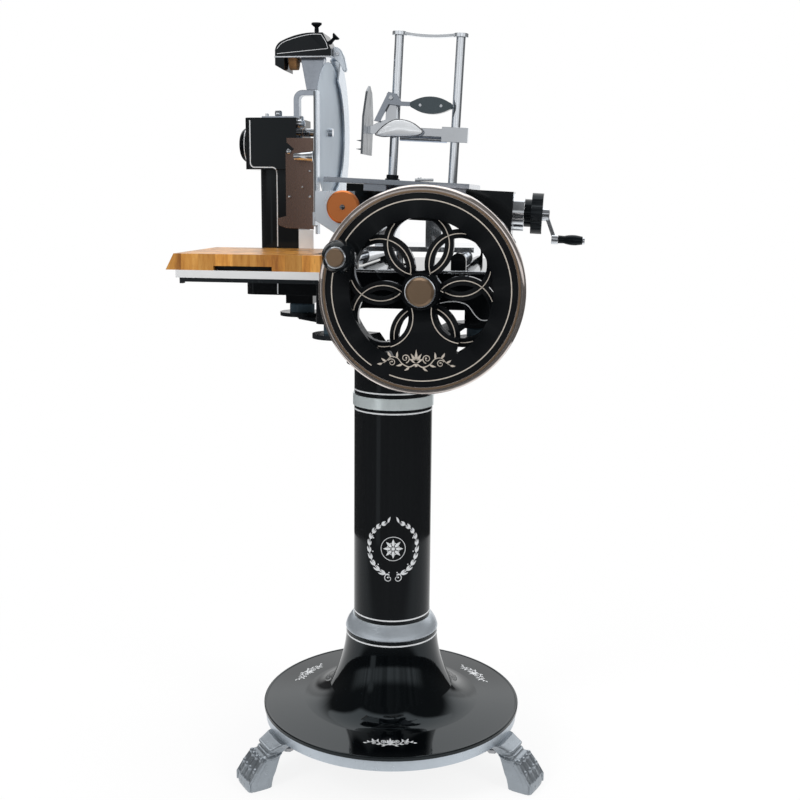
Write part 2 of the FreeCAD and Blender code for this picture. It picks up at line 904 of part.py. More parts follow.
def base_cover():
    """The plate that closes the main box from below, with the upright spindle of the crown gear."""
    wall = S.base_wall + S.fit
    plan = rounded_plan(S.base_left + wall, S.base_right - wall, S.base_front + wall, S.base_rear - wall,
                        S.base_corner - S.base_wall)
    sheet = plate("z", plan, S.cover_thickness, 0, 0, S.base_bottom)
    shoulder = rod("z", S.spindle_radius + 8, CROWN_BOTTOM - S.base_bottom - 0.3, CROWN_X, CROWN_Y, S.base_bottom)
    spindle = rod("z", S.spindle_radius, CROWN_TOP - 1 - S.base_bottom, CROWN_X, CROWN_Y, S.base_bottom)
    return piece("base_cover", fuse(sheet, shoulder, spindle))


HOUSING_BOSS = 18


def bearing_bushes():
    """Six plain bushes: two for the main shaft, two for the cross shaft and two for the blade shaft."""
    wall = S.base_wall
    front = S.base_front - FRONT_BOSS
    rear = S.base_rear - REAR_BOSS - wall
    main = ring_profile(S.main_shaft_radius + S.fit, BUSH_RADIUS, FRONT_BOSS + wall)
    main_rear = ring_profile(S.main_shaft_radius + S.fit, BUSH_RADIUS, REAR_BOSS + wall)
    cross = ring_profile(S.cross_shaft_radius + S.fit, CROSS_BUSH_RADIUS, REAR_BOSS + wall)
    blade = ring_profile(S.blade_shaft_radius + S.fit, S.blade_shaft_radius + S.bush_wall, HOUSING_BOSS)
    bushes = [
        turned(main, S.wheel_axis_x, front, S.shaft_axis_z, "y"),
        turned(main_rear, S.wheel_axis_x, rear, S.shaft_axis_z, "y"),
        turned(cross, S.base_left - REAR_BOSS, CROWN_Y, S.shaft_axis_z, "x"),
        turned(cross, S.wing_left, CROWN_Y, S.shaft_axis_z, "x"),
        turned(blade, S.column_right - HOUSING_BOSS, S.blade_axis_y, S.blade_axis_z, "x"),
        turned(blade, S.housing_left, S.blade_axis_y, S.blade_axis_z, "x"),
    ]
    return piece("bearing_bushes", group(*bushes))


# ---------------------------------------------------------------- drive

def gear_outline(teeth, outer, root):
    """The face of a straight-toothed wheel."""
    corners = []
    step = 2 * math.pi / teeth
    for tooth in range(teeth):
        for share, radius in ((0.0, root), (0.2, outer), (0.5, outer), (0.7, root)):
            angle = (tooth + share) * step
            corners.append(FreeCAD.Vector(radius * math.cos(angle), radius * math.sin(angle), 0))
    return Part.Face(Part.makePolygon(corners + corners[:1]))


def toothed_wheel(teeth, outer, root, width, bore):
    """A toothed wheel along +Z with a plain bore; a bore of 0 leaves it solid."""
    wheel = gear_outline(int(float(teeth)), float(outer), float(root)).extrude(FreeCAD.Vector(0, 0, float(width)))
    if float(bore) > 0:
        wheel = wheel.cut(Part.makeCylinder(float(bore), float(width)))
    return wheel


def main_shaft():
    """The flywheel's shaft with its pinion cut from the solid."""
    front = WHEEL_FRONT + 4
    shaft = rod("y", S.main_shaft_radius, S.base_rear - 2 - front, S.wheel_axis_x, front, S.shaft_axis_z)
    teeth = toothed_wheel(S.pinion_teeth, S.pinion_radius, S.pinion_root, S.pinion_length, 0)
    pinion_y = CROWN_Y + S.crown_radius - S.pinion_length
    pinion = shaped(teeth, S.wheel_axis_x, pinion_y, S.shaft_axis_z, *AXIS_TURNS["y"])
    return piece("main_shaft", fuse(shaft, pinion))


def cross_shaft():
    """The shaft to the chain, with its pinion and its sprocket cut from the solid."""
    left = S.wing_left + 3
    right = CROWN_X - S.crown_radius + S.pinion_length
    shaft = rod("x", S.cross_shaft_radius, right - left, left, CROWN_Y, S.shaft_axis_z)
    teeth = toothed_wheel(S.pinion_teeth, S.pinion_radius, S.pinion_root, S.pinion_length, 0)
    pinion = shaped(teeth, right - S.pinion_length, CROWN_Y, S.shaft_axis_z, *AXIS_TURNS["x"])
    teeth = toothed_wheel(S.sprocket_teeth, S.sprocket_radius, S.sprocket_radius - 3, S.sprocket_width, 0)
    sprocket = shaped(teeth, S.chain_x - S.sprocket_width / 2, CROWN_Y, S.shaft_axis_z, *AXIS_TURNS["x"])
    return piece("cross_shaft", fuse(shaft, pinion, sprocket))


def crown_gear():
    """The face gear that turns flat in the base, its teeth on top of the rim, with the crank pin."""
    web = S.crown_height - 4
    rim = S.crown_radius - S.crown_face
    hub = S.spindle_radius + 8
    profile = [
        (S.spindle_radius + S.fit, 0),
        (S.crown_radius, 0),
        (S.crown_radius, S.crown_height + S.crown_tooth),
        (rim, S.crown_height + S.crown_tooth),
        (rim, web),
        (hub, web),
        (hub, S.crown_height),
        (S.spindle_radius + S.fit, S.crown_height),
    ]
    body = turned(profile, CROWN_X, CROWN_Y, CROWN_BOTTOM)
    DOCUMENT.recompute()
    half = math.pi * float(S.crown_radius) / float(S.crown_teeth) / 2
    gap_outline = [(rim - 1, -half), (S.crown_radius + 1, -half), (S.crown_radius + 1, half), (rim - 1, half)]
    drawing = sketch(body, "XY_Plane", gap_outline)
    drawing.setExpression("AttachmentOffset.Base.z", S.crown_height.text)
    gap = body.newObject("PartDesign::Pocket", "tooth_gap")
    gap.Profile = drawing
    bind(gap, Length=S.crown_tooth + 1)
    gap.Reversed = True
    pattern = body.newObject("PartDesign::PolarPattern", "teeth")
    pattern.Originals = [gap]
    pattern.Axis = (drawing, ["N_Axis"])
    pattern.Angle = 360
    pattern.setExpression("Occurrences", S.crown_teeth.text)
    body.Tip = pattern
    pin_x = CROWN_X - S.crank_radius
    shoulder = rod("z", S.crank_pin_radius + 3, ROD_BOTTOM - 0.3 - CROWN_BOTTOM, pin_x, CROWN_Y, CROWN_BOTTOM)
    pin = rod("z", S.crank_pin_radius, ROD_BOTTOM + S.rod_thickness + 1 - CROWN_BOTTOM, pin_x, CROWN_Y, CROWN_BOTTOM)
    return piece("crown_gear", fuse(body, shoulder, pin))


ROD_BOTTOM = CROWN_TOP + 1.2


def connecting_rod():
    """The rod between the crank pin and the carriage's wrist pin."""
    bar = box(WRIST_X - S.rod_width / 2, WRIST_Y, ROD_BOTTOM, S.rod_width, S.rod_length, S.rod_thickness)
    eyes = [rod("z", S.rod_eye, S.rod_thickness, WRIST_X, y, ROD_BOTTOM) for y in (WRIST_Y, CROWN_Y)]
    bores = [
        rod("z", S.crank_pin_radius + S.fit, S.rod_thickness + 2, WRIST_X, CROWN_Y, ROD_BOTTOM - 1),
        rod("z", S.wrist_radius + S.fit, S.rod_thickness + 2, WRIST_X, WRIST_Y, ROD_BOTTOM - 1),
    ]
    return piece("connecting_rod", cut(fuse(bar, *eyes), *bores))


def blade_sprocket():
    wheel = toothed_wheel(S.blade_sprocket_teeth, S.blade_sprocket_radius, S.blade_sprocket_radius - 3,
                          S.sprocket_width, S.blade_shaft_radius + S.fit)
    x = S.chain_x - S.sprocket_width / 2
    return piece("blade_sprocket", shaped(wheel, x, S.blade_axis_y, S.blade_axis_z, *AXIS_TURNS["x"]))


def chain_loop(clear):
    """The outline of the chain at a distance from both sprockets, in the plane across X."""
    low = float(S.sprocket_radius) + clear
    high = float(S.blade_sprocket_radius) + clear
    apart = float(S.blade_axis_z - S.shaft_axis_z)
    slope = math.asin((low - high) / apart)
    side = math.cos(slope)
    rise = math.sin(slope)

    def spot(sign, radius, height):
        return FreeCAD.Vector(0, sign * radius * side, height + radius * rise)

    bottom = FreeCAD.Vector(0, 0, -low)
    top = FreeCAD.Vector(0, 0, apart + high)
    edges = [
        Part.Arc(spot(-1, low, 0), bottom, spot(1, low, 0)).toShape(),
        Part.LineSegment(spot(1, low, 0), spot(1, high, apart)).toShape(),
        Part.Arc(spot(1, high, apart), top, spot(-1, high, apart)).toShape(),
        Part.LineSegment(spot(-1, high, apart), spot(-1, low, 0)).toShape(),
    ]
    return Part.Face(Part.Wire(edges))


def drive_chain():
    """The chain as one closed loop round both sprockets."""
    inner = 0.3
    outer = inner + float(S.chain_thickness)
    loop = chain_loop(outer).cut(chain_loop(inner))
    width = float(S.sprocket_width) + 3
    band = loop.extrude(FreeCAD.Vector(width, 0, 0))
    return piece("drive_chain", shaped(band, S.chain_x - width / 2, CROWN_Y, S.shaft_axis_z))


# ---------------------------------------------------------------- blade side

def neck_block(inset, bottom, height):
    """The neck's outline from above, drawn in by an inset and raised, its two left corners broadly rounded."""
    left = S.column_left + inset
    front = S.wing_front + inset
    right = S.column_right - inset
    back = S.column_back - inset
    corner = S.neck_corner - inset
    outline = [
        (left + corner, front, corner),
        (right, front),
        (right, back),
        (left + corner, back),
        (left, back - corner, corner),
        (left, front + corner),
    ]
    return plate("z", outline, height, 0, 0, bottom)


def blade_column():
    """The hollow neck that rises from the wing and hides the chain."""
    height = HOUSING_BOTTOM - S.base_top
    outside = neck_block(0, S.base_top, height)
    inside = neck_block(S.column_shell, S.base_top - 1, height + 2)
    return piece("blade_column", cut(outside, inside))


def blade_housing():
    """The hollow head on the neck, with bosses for the blade shaft's bushes."""
    shell = S.column_shell
    width = S.column_right - S.housing_left
    depth = S.housing_back - S.housing_front
    height = HOUSING_TOP - HOUSING_BOTTOM
    outside = box(S.housing_left, S.housing_front, HOUSING_BOTTOM, width, depth, height)
    limit = float(S.column_right) - 1

    def left_corners(edge):
        return vertical(edge) and edge.BoundBox.XMax < limit

    outside = rounded(outside, S.housing_corner, left_corners)
    inside = box(S.housing_left + shell, S.housing_front + shell, HOUSING_BOTTOM + shell, width - 2 * shell,
                 depth - 2 * shell, height - 2 * shell)
    throat = neck_block(shell, HOUSING_BOTTOM - 1, shell + 2)
    radius = S.blade_shaft_radius + S.bush_wall
    bosses = [
        rod("x", radius + 5, HOUSING_BOSS, S.column_right - HOUSING_BOSS, S.blade_axis_y, S.blade_axis_z),
        rod("x", radius + 5, HOUSING_BOSS, S.housing_left, S.blade_axis_y, S.blade_axis_z),
    ]
    bore = rod("x", radius + S.fit, width + 2, S.housing_left - 1, S.blade_axis_y, S.blade_axis_z)
    shell_body = cut(outside, inside, throat)
    return piece("blade_housing", cut(fuse(shell_body, *bosses), bore))


def end_cap():
    """The stepped and domed cover on the housing's left end."""
    radius = S.end_cap_radius
    height = S.end_cap_height
    profile = [
        (0, 0),
        (radius, 0),
        (radius, height / 2),
        (radius - 2, height / 2),
        (radius - 2, height / 2 + 3),
        (radius - 12, height, 16),
        (0, height),
    ]
    cap = turned(profile)
    cap = place(cap, S.housing_left, S.blade_axis_y, END_CAP_Z, (0, 1, 0), -90)
    return piece("end_cap", cap)


def strap_arm():
    """A bent bar: a flat foot on the housing, an upright and a lip under the sharpener's collar."""
    sheet = S.strap_thickness
    foot_left = S.housing_left + 22
    foot_right = S.column_right - 2
    upright = S.strap_right
    top = COLLAR_BOTTOM
    bend = 8
    profile = [
        (foot_left, HOUSING_TOP),
        (foot_right, HOUSING_TOP),
        (foot_right, HOUSING_TOP + S.strap_foot),
        (upright, HOUSING_TOP + S.strap_foot),
        (upright, top - sheet - bend),
        (upright + bend, top - sheet, -bend),
        (COLLAR_X + 10, top - sheet),
        (COLLAR_X + 10, top),
        (upright + bend, top),
        (upright - sheet, top - sheet - bend, sheet + bend),
        (upright - sheet, HOUSING_TOP + S.strap_foot),
        (foot_left, HOUSING_TOP + S.strap_foot),
    ]
    front = S.sharpener_y - S.strap_width / 2
    arm = plate("y", profile, S.strap_width, 0, front, 0)
    return piece("strap_arm", arm)


def blade_shaft():
    """The blade's shaft with the flange that carries the blade."""
    left = S.housing_left + 2
    flange_left = BLADE_LEFT - S.blade_hub_thickness
    shaft = rod("x", S.blade_shaft_radius, BLADE_RIGHT + 6 - left, left, S.blade_axis_y, S.blade_axis_z)
    flange = rod("x", S.blade_hub_radius, S.blade_hub_thickness, flange_left, S.blade_axis_y, S.blade_axis_z)
    return piece("blade_shaft", fuse(shaft, flange))


BLADE_LEFT = S.blade_x - S.blade_thickness / 2
BLADE_RIGHT = S.blade_x + S.blade_thickness / 2


def blade():
    """The round blade, bevelled on its left side."""
    bevel = 11
    profile = [
        (S.blade_shaft_radius + S.fit, 0),
        (S.blade_radius - bevel, 0),
        (S.blade_radius, S.blade_thickness - 0.4),
        (S.blade_radius, S.blade_thickness),
        (S.blade_shaft_radius + S.fit, S.blade_thickness),
    ]
    return piece("blade", turned(profile, BLADE_LEFT, S.blade_axis_y, S.blade_axis_z, "x"))


def blade_guard():
    """The guard ring: a channel round the blade's back, top and bottom, open at the cutting side."""
    sheet = S.guard_sheet
    width = S.guard_right - S.guard_left
    rim = S.guard_outer - sheet
    lip = S.guard_outer - 17
    profile = [
        (lip, 0),
        (S.guard_outer, 0),
        (S.guard_outer, width),
        (S.guard_lip, width),
        (S.guard_lip, width - sheet),
        (rim, width - sheet),
        (rim, sheet),
        (lip, sheet),
    ]
    corners = [FreeCAD.Vector(float(height), float(radius), 0) for radius, height in profile]
    face = Part.Face(Part.makePolygon(corners + corners[:1]))
    sweep = float(S.guard_end - S.guard_start)
    start = FreeCAD.Vector(1, 0, 0)
    face.rotate(FreeCAD.Vector(0, 0, 0), start, float(S.guard_start))
    channel = face.revolve(FreeCAD.Vector(0, 0, 0), start, sweep)
    channel = shaped(channel, S.guard_left, S.blade_axis_y, S.blade_axis_z)
    foot_height = 14
    foot_bottom = S.blade_axis_z - S.guard_outer + sheet
    foot = box(S.column_right, S.blade_axis_y - 15, foot_bottom, S.guard_left + sheet - S.column_right, 30,
               foot_height - sheet)
    return piece("blade_guard", fuse(channel, foot))


COLLAR_X = S.column_right + 21
COLLAR_BOTTOM = HOUSING_TOP + 55
BLADE_TOP = S.blade_axis_z + S.blade_radius
SHARPENER_BOTTOM = BLADE_TOP + S.sharpener_bottom
SHARPENER_TOP = BLADE_TOP + S.sharpener_top


def sharpener_bracket():
    """The tapered bracket that lifts the sharpener over the blade, with the stone's spindle."""
    foot_half = 12
    head_half = 23
    depth = S.strap_width
    outline = [
        (COLLAR_X - foot_half, COLLAR_BOTTOM),
        (COLLAR_X + foot_half, COLLAR_BOTTOM),
        (COLLAR_X + head_half, SHARPENER_BOTTOM),
        (COLLAR_X - head_half, SHARPENER_BOTTOM),
    ]
    body = plate("y", outline, depth, 0, S.sharpener_y - depth / 2, 0)
    spindle = rod("x", STONE_BORE, COLLAR_X - S.stone_left, S.stone_left, S.sharpener_y, STONE_Z)
    return piece("sharpener_bracket", fuse(body, spindle))


STONE_BORE = Size(3.0, "(3)")
STONE_Z = SHARPENER_BOTTOM - S.stone_radius + 13


def grinding_stone():
    body = ring_profile(STONE_BORE + S.fit, S.stone_radius, S.stone_width)
    return piece("grinding_stone", turned(body, S.stone_left + 3, S.sharpener_y, STONE_Z, "x"))


def sharpener_cover():
    """The humped cover over the stones, open below, with two sleeves for the push knobs."""
    left = S.sharpener_left
    right = S.sharpener_right
    bottom = SHARPENER_BOTTOM
    depth = 2 * S.sharpener_half_width
    front = S.sharpener_y - S.sharpener_half_width
    shell = 4

    def hump(inset):
        crown = SHARPENER_TOP - inset
        return [
            (left + inset, bottom),
            (right - inset, bottom),
            (right - inset, bottom + 14 - inset),
            (right - 16 - inset, crown),
            (right - 40 - inset, crown),
            (left + 12 + inset, bottom + 29 - inset, 150),
            (left + inset, bottom + 12 - inset, 22),
        ]

    outside = plate("y", hump(0), depth, 0, front, 0)
    inside = plate("y", hump(shell), depth - 2 * shell, 0, front + shell, 0)
    skirt_right = left + 18
    skirt = plate("y", [(left, bottom - 15), (skirt_right, bottom - 25), (skirt_right, bottom + 1),
                        (left, bottom + 1)], depth, 0, front, 0)
    sleeve = rod("z", KNOB_STEM + 4, 22, COLLAR_X + 6, S.sharpener_y, SHARPENER_TOP - 22)
    roof = plate("y", [(COLLAR_X - 23, bottom), (COLLAR_X + 23, bottom), (COLLAR_X + 23, bottom + 3),
                       (COLLAR_X - 23, bottom + 3)], depth - shell, 0, front + shell / 2, 0)
    bore = rod("z", KNOB_STEM + S.fit, 26, COLLAR_X + 6, S.sharpener_y, SHARPENER_TOP - 24)
    side_x, side_z = side_knob_root()
    side_bore = place(DOCUMENT.addObject("Part::Cylinder", "rod"), side_x, S.sharpener_y, side_z, (0, 1, 0), 45)
    bind(side_bore, Radius=KNOB_STEM + S.fit, Height=40)
    shell_body = fuse(cut(outside, inside), skirt, sleeve, roof)
    return piece("sharpener_cover", cut(shell_body, bore, side_bore))


KNOB_STEM = Size(4.0, "(4)")


def side_knob_root():
    """Where the slanted knob's stem starts inside the cover."""
    return S.sharpener_right - 24, SHARPENER_BOTTOM + 14


def knob_profile(head, reach, stem):
    """A push knob: a stem, a slim waist and a flared head."""
    return [
        (0, 0),
        (KNOB_STEM, 0),
        (KNOB_STEM, stem),
        (head * 0.45, stem),
        (head * 0.4, stem + reach * 0.5),
        (head, stem + reach * 0.8),
        (head, stem + reach),
        (0, stem + reach),
    ]


def top_knob():
    profile = knob_profile(S.top_knob_radius, 16, 32)
    return piece("top_knob", turned(profile, COLLAR_X + 6, S.sharpener_y, SHARPENER_TOP - 26))


def side_knob():
    x, z = side_knob_root()
    body = turned(knob_profile(S.side_knob_radius, 16, 24))
    return piece("side_knob", place(body, x, S.sharpener_y, z, (0, 1, 0), 45))


def deflector_bracket():
    """A clamp on the housing, an arm forwards and the short hinge pin of the deflector."""
    arm_x = S.column_right + 10
    back = S.wing_front
    arm = rod("y", 6, back + 10 - HINGE_Y, arm_x, HINGE_Y, HINGE_Z)
    clamp = box(S.column_right, back, HINGE_Z - 8, 16, 20, 16)
    pin = rod("x", HINGE_PIN, KNUCKLE_X + KNUCKLE_LENGTH + 3 - arm_x, arm_x, HINGE_Y, HINGE_Z)
    return piece("deflector_bracket", fuse(arm, clamp, pin))


HINGE_PIN = Size(4.0, "(4)")
HINGE_Y = S.deflector_front + 36
HINGE_Z = DEFLECTOR_BOTTOM + 133
KNUCKLE_X = S.column_right + 18
KNUCKLE_LENGTH = 18


def slice_deflector():
    """The curved sheet that lays the slices on the board, hung on its hinge pin."""
    sheet = S.deflector_sheet
    left = S.deflector_left
    right = S.deflector_right
    bottom = DEFLECTOR_BOTTOM
    top = DEFLECTOR_TOP
    outline = [
        (left + 16, bottom + 2),
        (right, bottom),
        (right, top),
        (left + 18, top),
        (left + 18, top - 8),
        (left + 32, top - 20),
        (left + 20, top - 30),
        (left + 16, top - 26),
        (left + 16, bottom + 24),
        (left, bottom + 20),
        (left, bottom + 8),
    ]
    bend = 260
    block = plate("y", outline, 40, 0, S.deflector_front - 30, 0)
    middle = (left + right) / 2
    outer = rod("z", bend, top - bottom + 4, middle, S.deflector_front - bend + sheet, bottom - 2)
    inner = rod("z", bend - sheet, top - bottom + 8, middle, S.deflector_front - bend + sheet, bottom - 4)
    shell = common(block, cut(outer, inner))
    knuckle = rod("x", HINGE_PIN + 4, KNUCKLE_LENGTH, KNUCKLE_X, HINGE_Y, HINGE_Z)
    web = box(KNUCKLE_X, S.deflector_front + 1, HINGE_Z - 4, KNUCKLE_LENGTH, HINGE_Y - S.deflector_front, 8)
    bore = rod("x", HINGE_PIN + S.fit, KNUCKLE_LENGTH + 2, KNUCKLE_X - 1, HINGE_Y, HINGE_Z)
    return piece("slice_deflector", cut(fuse(shell, knuckle, web), bore))


# ---------------------------------------------------------------- gauge, tray and board

BOX_FOOT_LEFT = S.board_nose + 3
BOX_FOOT_RIGHT = S.carriage_left - 3


def gauge_housing():
    """The bright box that carries the slice-thickness dial, on a foot on the base casting."""
    length = S.gauge_box_right - S.gauge_box_left
    depth = S.gauge_box_back - S.gauge_box_front
    slant = 26
    outline = [
        (S.gauge_box_left + slant * 1.6, S.gauge_box_bottom),
        (S.gauge_box_right, S.gauge_box_bottom),
        (S.gauge_box_right, S.gauge_box_top),
        (S.gauge_box_left, S.gauge_box_top),
        (S.gauge_box_left, S.gauge_box_bottom + slant),
    ]
    body = plate("y", outline, depth, 0, S.gauge_box_front, 0)
    foot = box(BOX_FOOT_LEFT, S.gauge_box_front + 6, S.base_top, BOX_FOOT_RIGHT - BOX_FOOT_LEFT, depth - 12,
               S.gauge_box_bottom - S.base_top + 2)
    key = S.gauge_key
    slot = box(S.gauge_box_left - 1, S.gauge_box_back - 14 - S.fit, S.gauge_slide_z - key / 2 - S.fit,
               length - 12, key + 2 * S.fit, key + 2 * S.fit)
    dial_bore = rod("y", DIAL_STEM + S.fit, 30, S.dial_x, S.gauge_box_front - 1, S.dial_z)
    return piece("gauge_housing", cut(fuse(body, foot), slot, dial_bore))


DIAL_STEM = Size(5.0, "(5)")


def gauge_knob():
    """The dial: a low copper disc on a stem."""
    height = S.dial_height
    profile = [
        (0, 0),
        (S.dial_radius - 3, 0),
        (S.dial_radius, 3),
        (S.dial_radius, height),
        (DIAL_STEM, height),
        (DIAL_STEM, height + 22),
        (0, height + 22),
    ]
    y = S.gauge_box_front - height - 0.4
    return piece("gauge_knob", turned(profile, S.dial_x, y, S.dial_z, "y"))


def gauge_plate():
    """The upright plate that sets the slice's thickness, on a square key that slides in the box."""
    z = S.gauge_box_bottom
    depth = S.gauge_back - S.gauge_front
    left = S.gauge_x
    sheet = box(left, S.gauge_front, z, S.gauge_thickness, depth, S.gauge_top - z)
    key = S.gauge_key
    ear_front = S.gauge_box_back - 16
    ear = box(left, ear_front, S.gauge_slide_z - 12, S.gauge_thickness, S.gauge_front - ear_front + 1, 24)
    bar = box(left, S.gauge_box_back - 14, S.gauge_slide_z - key / 2, S.gauge_box_left - left + 34, key, key)
    return piece("gauge_plate", fuse(sheet, ear, bar))


def nosed(top_front, back, left, right, height, z):
    """A flat block whose front edge reaches to the right, past the base casting's corner."""
    corner = S.board_nose_depth
    outline = [
        (left, top_front),
        (S.board_nose, top_front),
        (S.board_nose, top_front + corner),
        (right, top_front + corner),
        (right, back),
        (left, back),
    ]
    return plate("z", outline, height, 0, 0, z)


def slice_tray():
    """The bright tray under the board: a folded sheet with a raised edge and a tab at the back."""
    sheet = S.tray_sheet
    bottom = TRAY_BOTTOM
    inner_nose = S.board_nose_depth
    left = S.board_left + 3
    outside = nosed(S.board_front, S.board_back, left, S.board_right, S.tray_height, bottom)
    hollow = box(left + sheet, S.board_front + sheet, bottom + sheet, S.board_right - left - 2 * sheet,
                 S.board_back - S.board_front - 2 * sheet, S.tray_height)
    nose_hollow = box(S.board_right - sheet - 1, S.board_front + sheet, bottom + sheet,
                      S.board_nose - S.board_right + 1, inner_nose - 2 * sheet, S.tray_height)
    tab = box(S.tab_left, S.board_back, bottom, S.tab_right - S.tab_left, sheet, S.tab_top - bottom)
    return piece("slice_tray", fuse(cut(outside, hollow, nose_hollow), tab))


TRAY_BOTTOM = S.board_top - S.board_thickness - S.tray_height


def tray_bracket():
    """Two dark bars under the tray, one along its front and one against the base casting."""
    height = S.bracket_height
    z = TRAY_BOTTOM - height
    left = S.board_left + 10
    front = box(left, S.board_front, z, S.board_nose - left, 12, height)
    side = box(S.base_left - 12, S.board_front, z, 12, S.board_back - S.board_front, height)
    hook = box(left, S.board_front, z - 3, 6, 12, 4)
    return piece("tray_bracket", fuse(front, side, hook))


def wooden_board():
    """The end-grain board, its left end sloping outwards and its front edge undercut."""
    bottom = S.board_top - S.board_thickness
    depth = S.board_back - S.board_front
    outline = [
        (S.board_left - S.board_slant, bottom),
        (S.board_nose, bottom),
        (S.board_nose, S.board_top),
        (S.board_left, S.board_top),
    ]
    block = plate("y", outline, depth, 0, S.board_front, 0)
    notch = box(S.board_right, S.board_front + S.board_nose_depth, bottom - 1, S.board_nose - S.board_right + 1,
                depth, S.board_thickness + 2)
    undercut = box(S.board_left + 72, S.board_front - 1, bottom - 1, 105, 14, 9)
    return piece("wooden_board", cut(block, notch, undercut))


def guide_rods():
    return piece("guide_rods", group(*[guide_rod(x, 0) for x in (S.guide_left, S.guide_right)]))


# ---------------------------------------------------------------- carriage

CARRIAGE_TOP = S.guide_z + S.carriage_plate * 2


def under_slide(x):
    """The height of the cross slide's lower face above a point of the carriage plate."""
    lean = S.slide_tilt
    depth = -S.slide_height
    across = (x - S.slide_x - depth * sine(lean)) / cosine(lean)
    return S.slide_z - across * sine(lean) + depth * cosine(lean)


def carriage_base():
    """The carriage: a plate on two long bearings, two pillars under the cross slide and the wrist pin."""
    depth = S.carriage_back - S.carriage_front
    plate_bottom = CARRIAGE_TOP - S.carriage_plate
    parts = [box(S.carriage_left, S.carriage_front, plate_bottom, S.carriage_right - S.carriage_left, depth,
                 S.carriage_plate)]
    bores = []
    for x in (S.guide_left, S.guide_right):
        parts.append(rod("y", S.bearing_radius, depth, x, S.carriage_front, S.guide_z))
        bores.append(rod("y", S.guide_radius + S.fit, depth + 2, x, S.carriage_front - 1, S.guide_z))
    for left, right in ((-35, 0), (62, 92)):
        left = as_size(left)
        right = as_size(right)
        outline = [
            (left, plate_bottom + 1),
            (right, plate_bottom + 1),
            (right, under_slide(right)),
            (left, under_slide(left)),
        ]
        parts.append(plate("y", outline, 90, 0, S.slide_y - 45, 0))
    pin_bottom = ROD_BOTTOM + S.rod_thickness + 1.8
    parts.append(rod("z", S.wrist_radius, plate_bottom + 1 - pin_bottom, WRIST_X, WRIST_Y, pin_bottom))
    return piece("carriage_base", cut(fuse(*parts), *bores))


def cross_slide():
    """The tilted bed of the table: a channel with a slot on top, and the box of the screw at its right end."""
    wall = S.slide_wall
    half = S.slide_half_width
    length = S.slide_left + S.screw_box_right
    channel = box(-S.slide_left, -half, -S.slide_height, S.slide_left + S.screw_box_left, 2 * half, S.slide_height)
    screw_box = box(S.screw_box_left, -half, -S.screw_box_height, S.screw_box_right - S.screw_box_left, 2 * half,
                    S.screw_box_height)
    hollow = box(wall - S.slide_left, wall - half, wall - S.slide_height, S.slide_left + S.screw_box_left - wall,
                 2 * (half - wall), S.slide_height - 2 * wall)
    box_hollow = box(S.screw_box_left + wall, wall - half, -S.screw_box_height - 1,
                     S.screw_box_right - S.screw_box_left - 2 * wall, 2 * (half - wall), S.screw_box_height - wall + 1)
    slot = box(-S.nut_reach, -NUT_STEM - 0.4, -wall - 1, S.nut_reach + S.screw_box_left - wall, 2 * NUT_STEM + 0.8,
               wall + 2)
    bore = rod("x", S.screw_radius + S.fit, length, 2 - S.slide_left, 0, -S.screw_axis)
    return piece("cross_slide", leaned(cut(fuse(channel, screw_box), hollow, box_hollow, slot, bore)))


NUT_STEM = Size(7.0, "(7)")


def housing_ring():
    """The bright ring at the end of the screw box."""
    body = ring_profile(S.screw_radius + S.fit, S.ring_radius, S.ring_length)
    return piece("housing_ring", leaned(turned(body, S.screw_box_right, 0, -S.screw_axis, "x")))


FEED_COLLAR = S.screw_box_right + S.ring_length + S.slide_gap
FEED_WHEEL = FEED_COLLAR + S.collar_length
CRANK_HUB = FEED_WHEEL + S.feed_wheel_length
CRANK_EYE = CRANK_HUB + S.crank_offset


def lead_screw():
    """The screw that drives the table across."""
    start = S.slide_wall / 2 - S.slide_left
    bar = rod("x", S.screw_radius, CRANK_HUB + 13 - start, start, 0, -S.screw_axis)
    return piece("lead_screw", leaned(bar))


def feed_wheel():
    """The lobed hand wheel with its collar, keyed on the screw."""
    radius = S.feed_wheel_radius
    length = S.feed_wheel_length
    collar = rod("x", S.collar_radius, S.collar_length, FEED_COLLAR, 0, -S.screw_axis)
    wheel = rod("x", radius, length, FEED_WHEEL, 0, -S.screw_axis)
    lobes = DIMENSIONS["feed_wheel_lobes"]
    scallops = []
    for number in range(lobes):
        angle = 360 / lobes * (number + 0.5)
        y = (radius + 8) * cosine(angle)
        z = (radius + 8) * sine(angle) - S.screw_axis
        scallops.append(rod("x", radius / 3, length + 2, FEED_WHEEL - 1, y, z))
    bore = rod("x", S.screw_radius + S.fit, S.collar_length + length + 2, FEED_COLLAR - 1, 0, -S.screw_axis)
    return piece("feed_wheel", leaned(fuse_cut(collar, wheel, scallops, bore)))


def fuse_cut(first, second, tools, bore):
    """Two joined objects, the second one notched, with a bore through both."""
    return cut(fuse(first, cut(second, *tools)), bore)


GRIP_PIN = Size(4.0, "(4)")


def feed_crank():
    """The crank arm, hanging down and outwards from the screw's end, with the pin of its grip."""
    width = 12
    low = -S.screw_axis - S.crank_arm
    outline = [
        (CRANK_HUB + 2, -S.screw_axis),
        (CRANK_EYE + 2, low),
        (CRANK_EYE + width - 2, low),
        (CRANK_HUB + width - 2, -S.screw_axis),
    ]
    hub = rod("x", 13, width, CRANK_HUB, 0, -S.screw_axis)
    web = plate("y", outline, 12, 0, -6, 0)
    eye = rod("x", 9.5, width, CRANK_EYE, 0, low)
    pin = rod("x", GRIP_PIN, S.grip_length + width + 4, CRANK_EYE, 0, low)
    head = rod("x", GRIP_PIN + 2.5, 3.5, CRANK_EYE + width + S.grip_length + 1, 0, low)
    bore = rod("x", S.screw_radius + S.fit, width + 2, CRANK_HUB - 1, 0, -S.screw_axis)
    return piece("feed_crank", leaned(cut(fuse(hub, web, eye, pin, head), bore)))


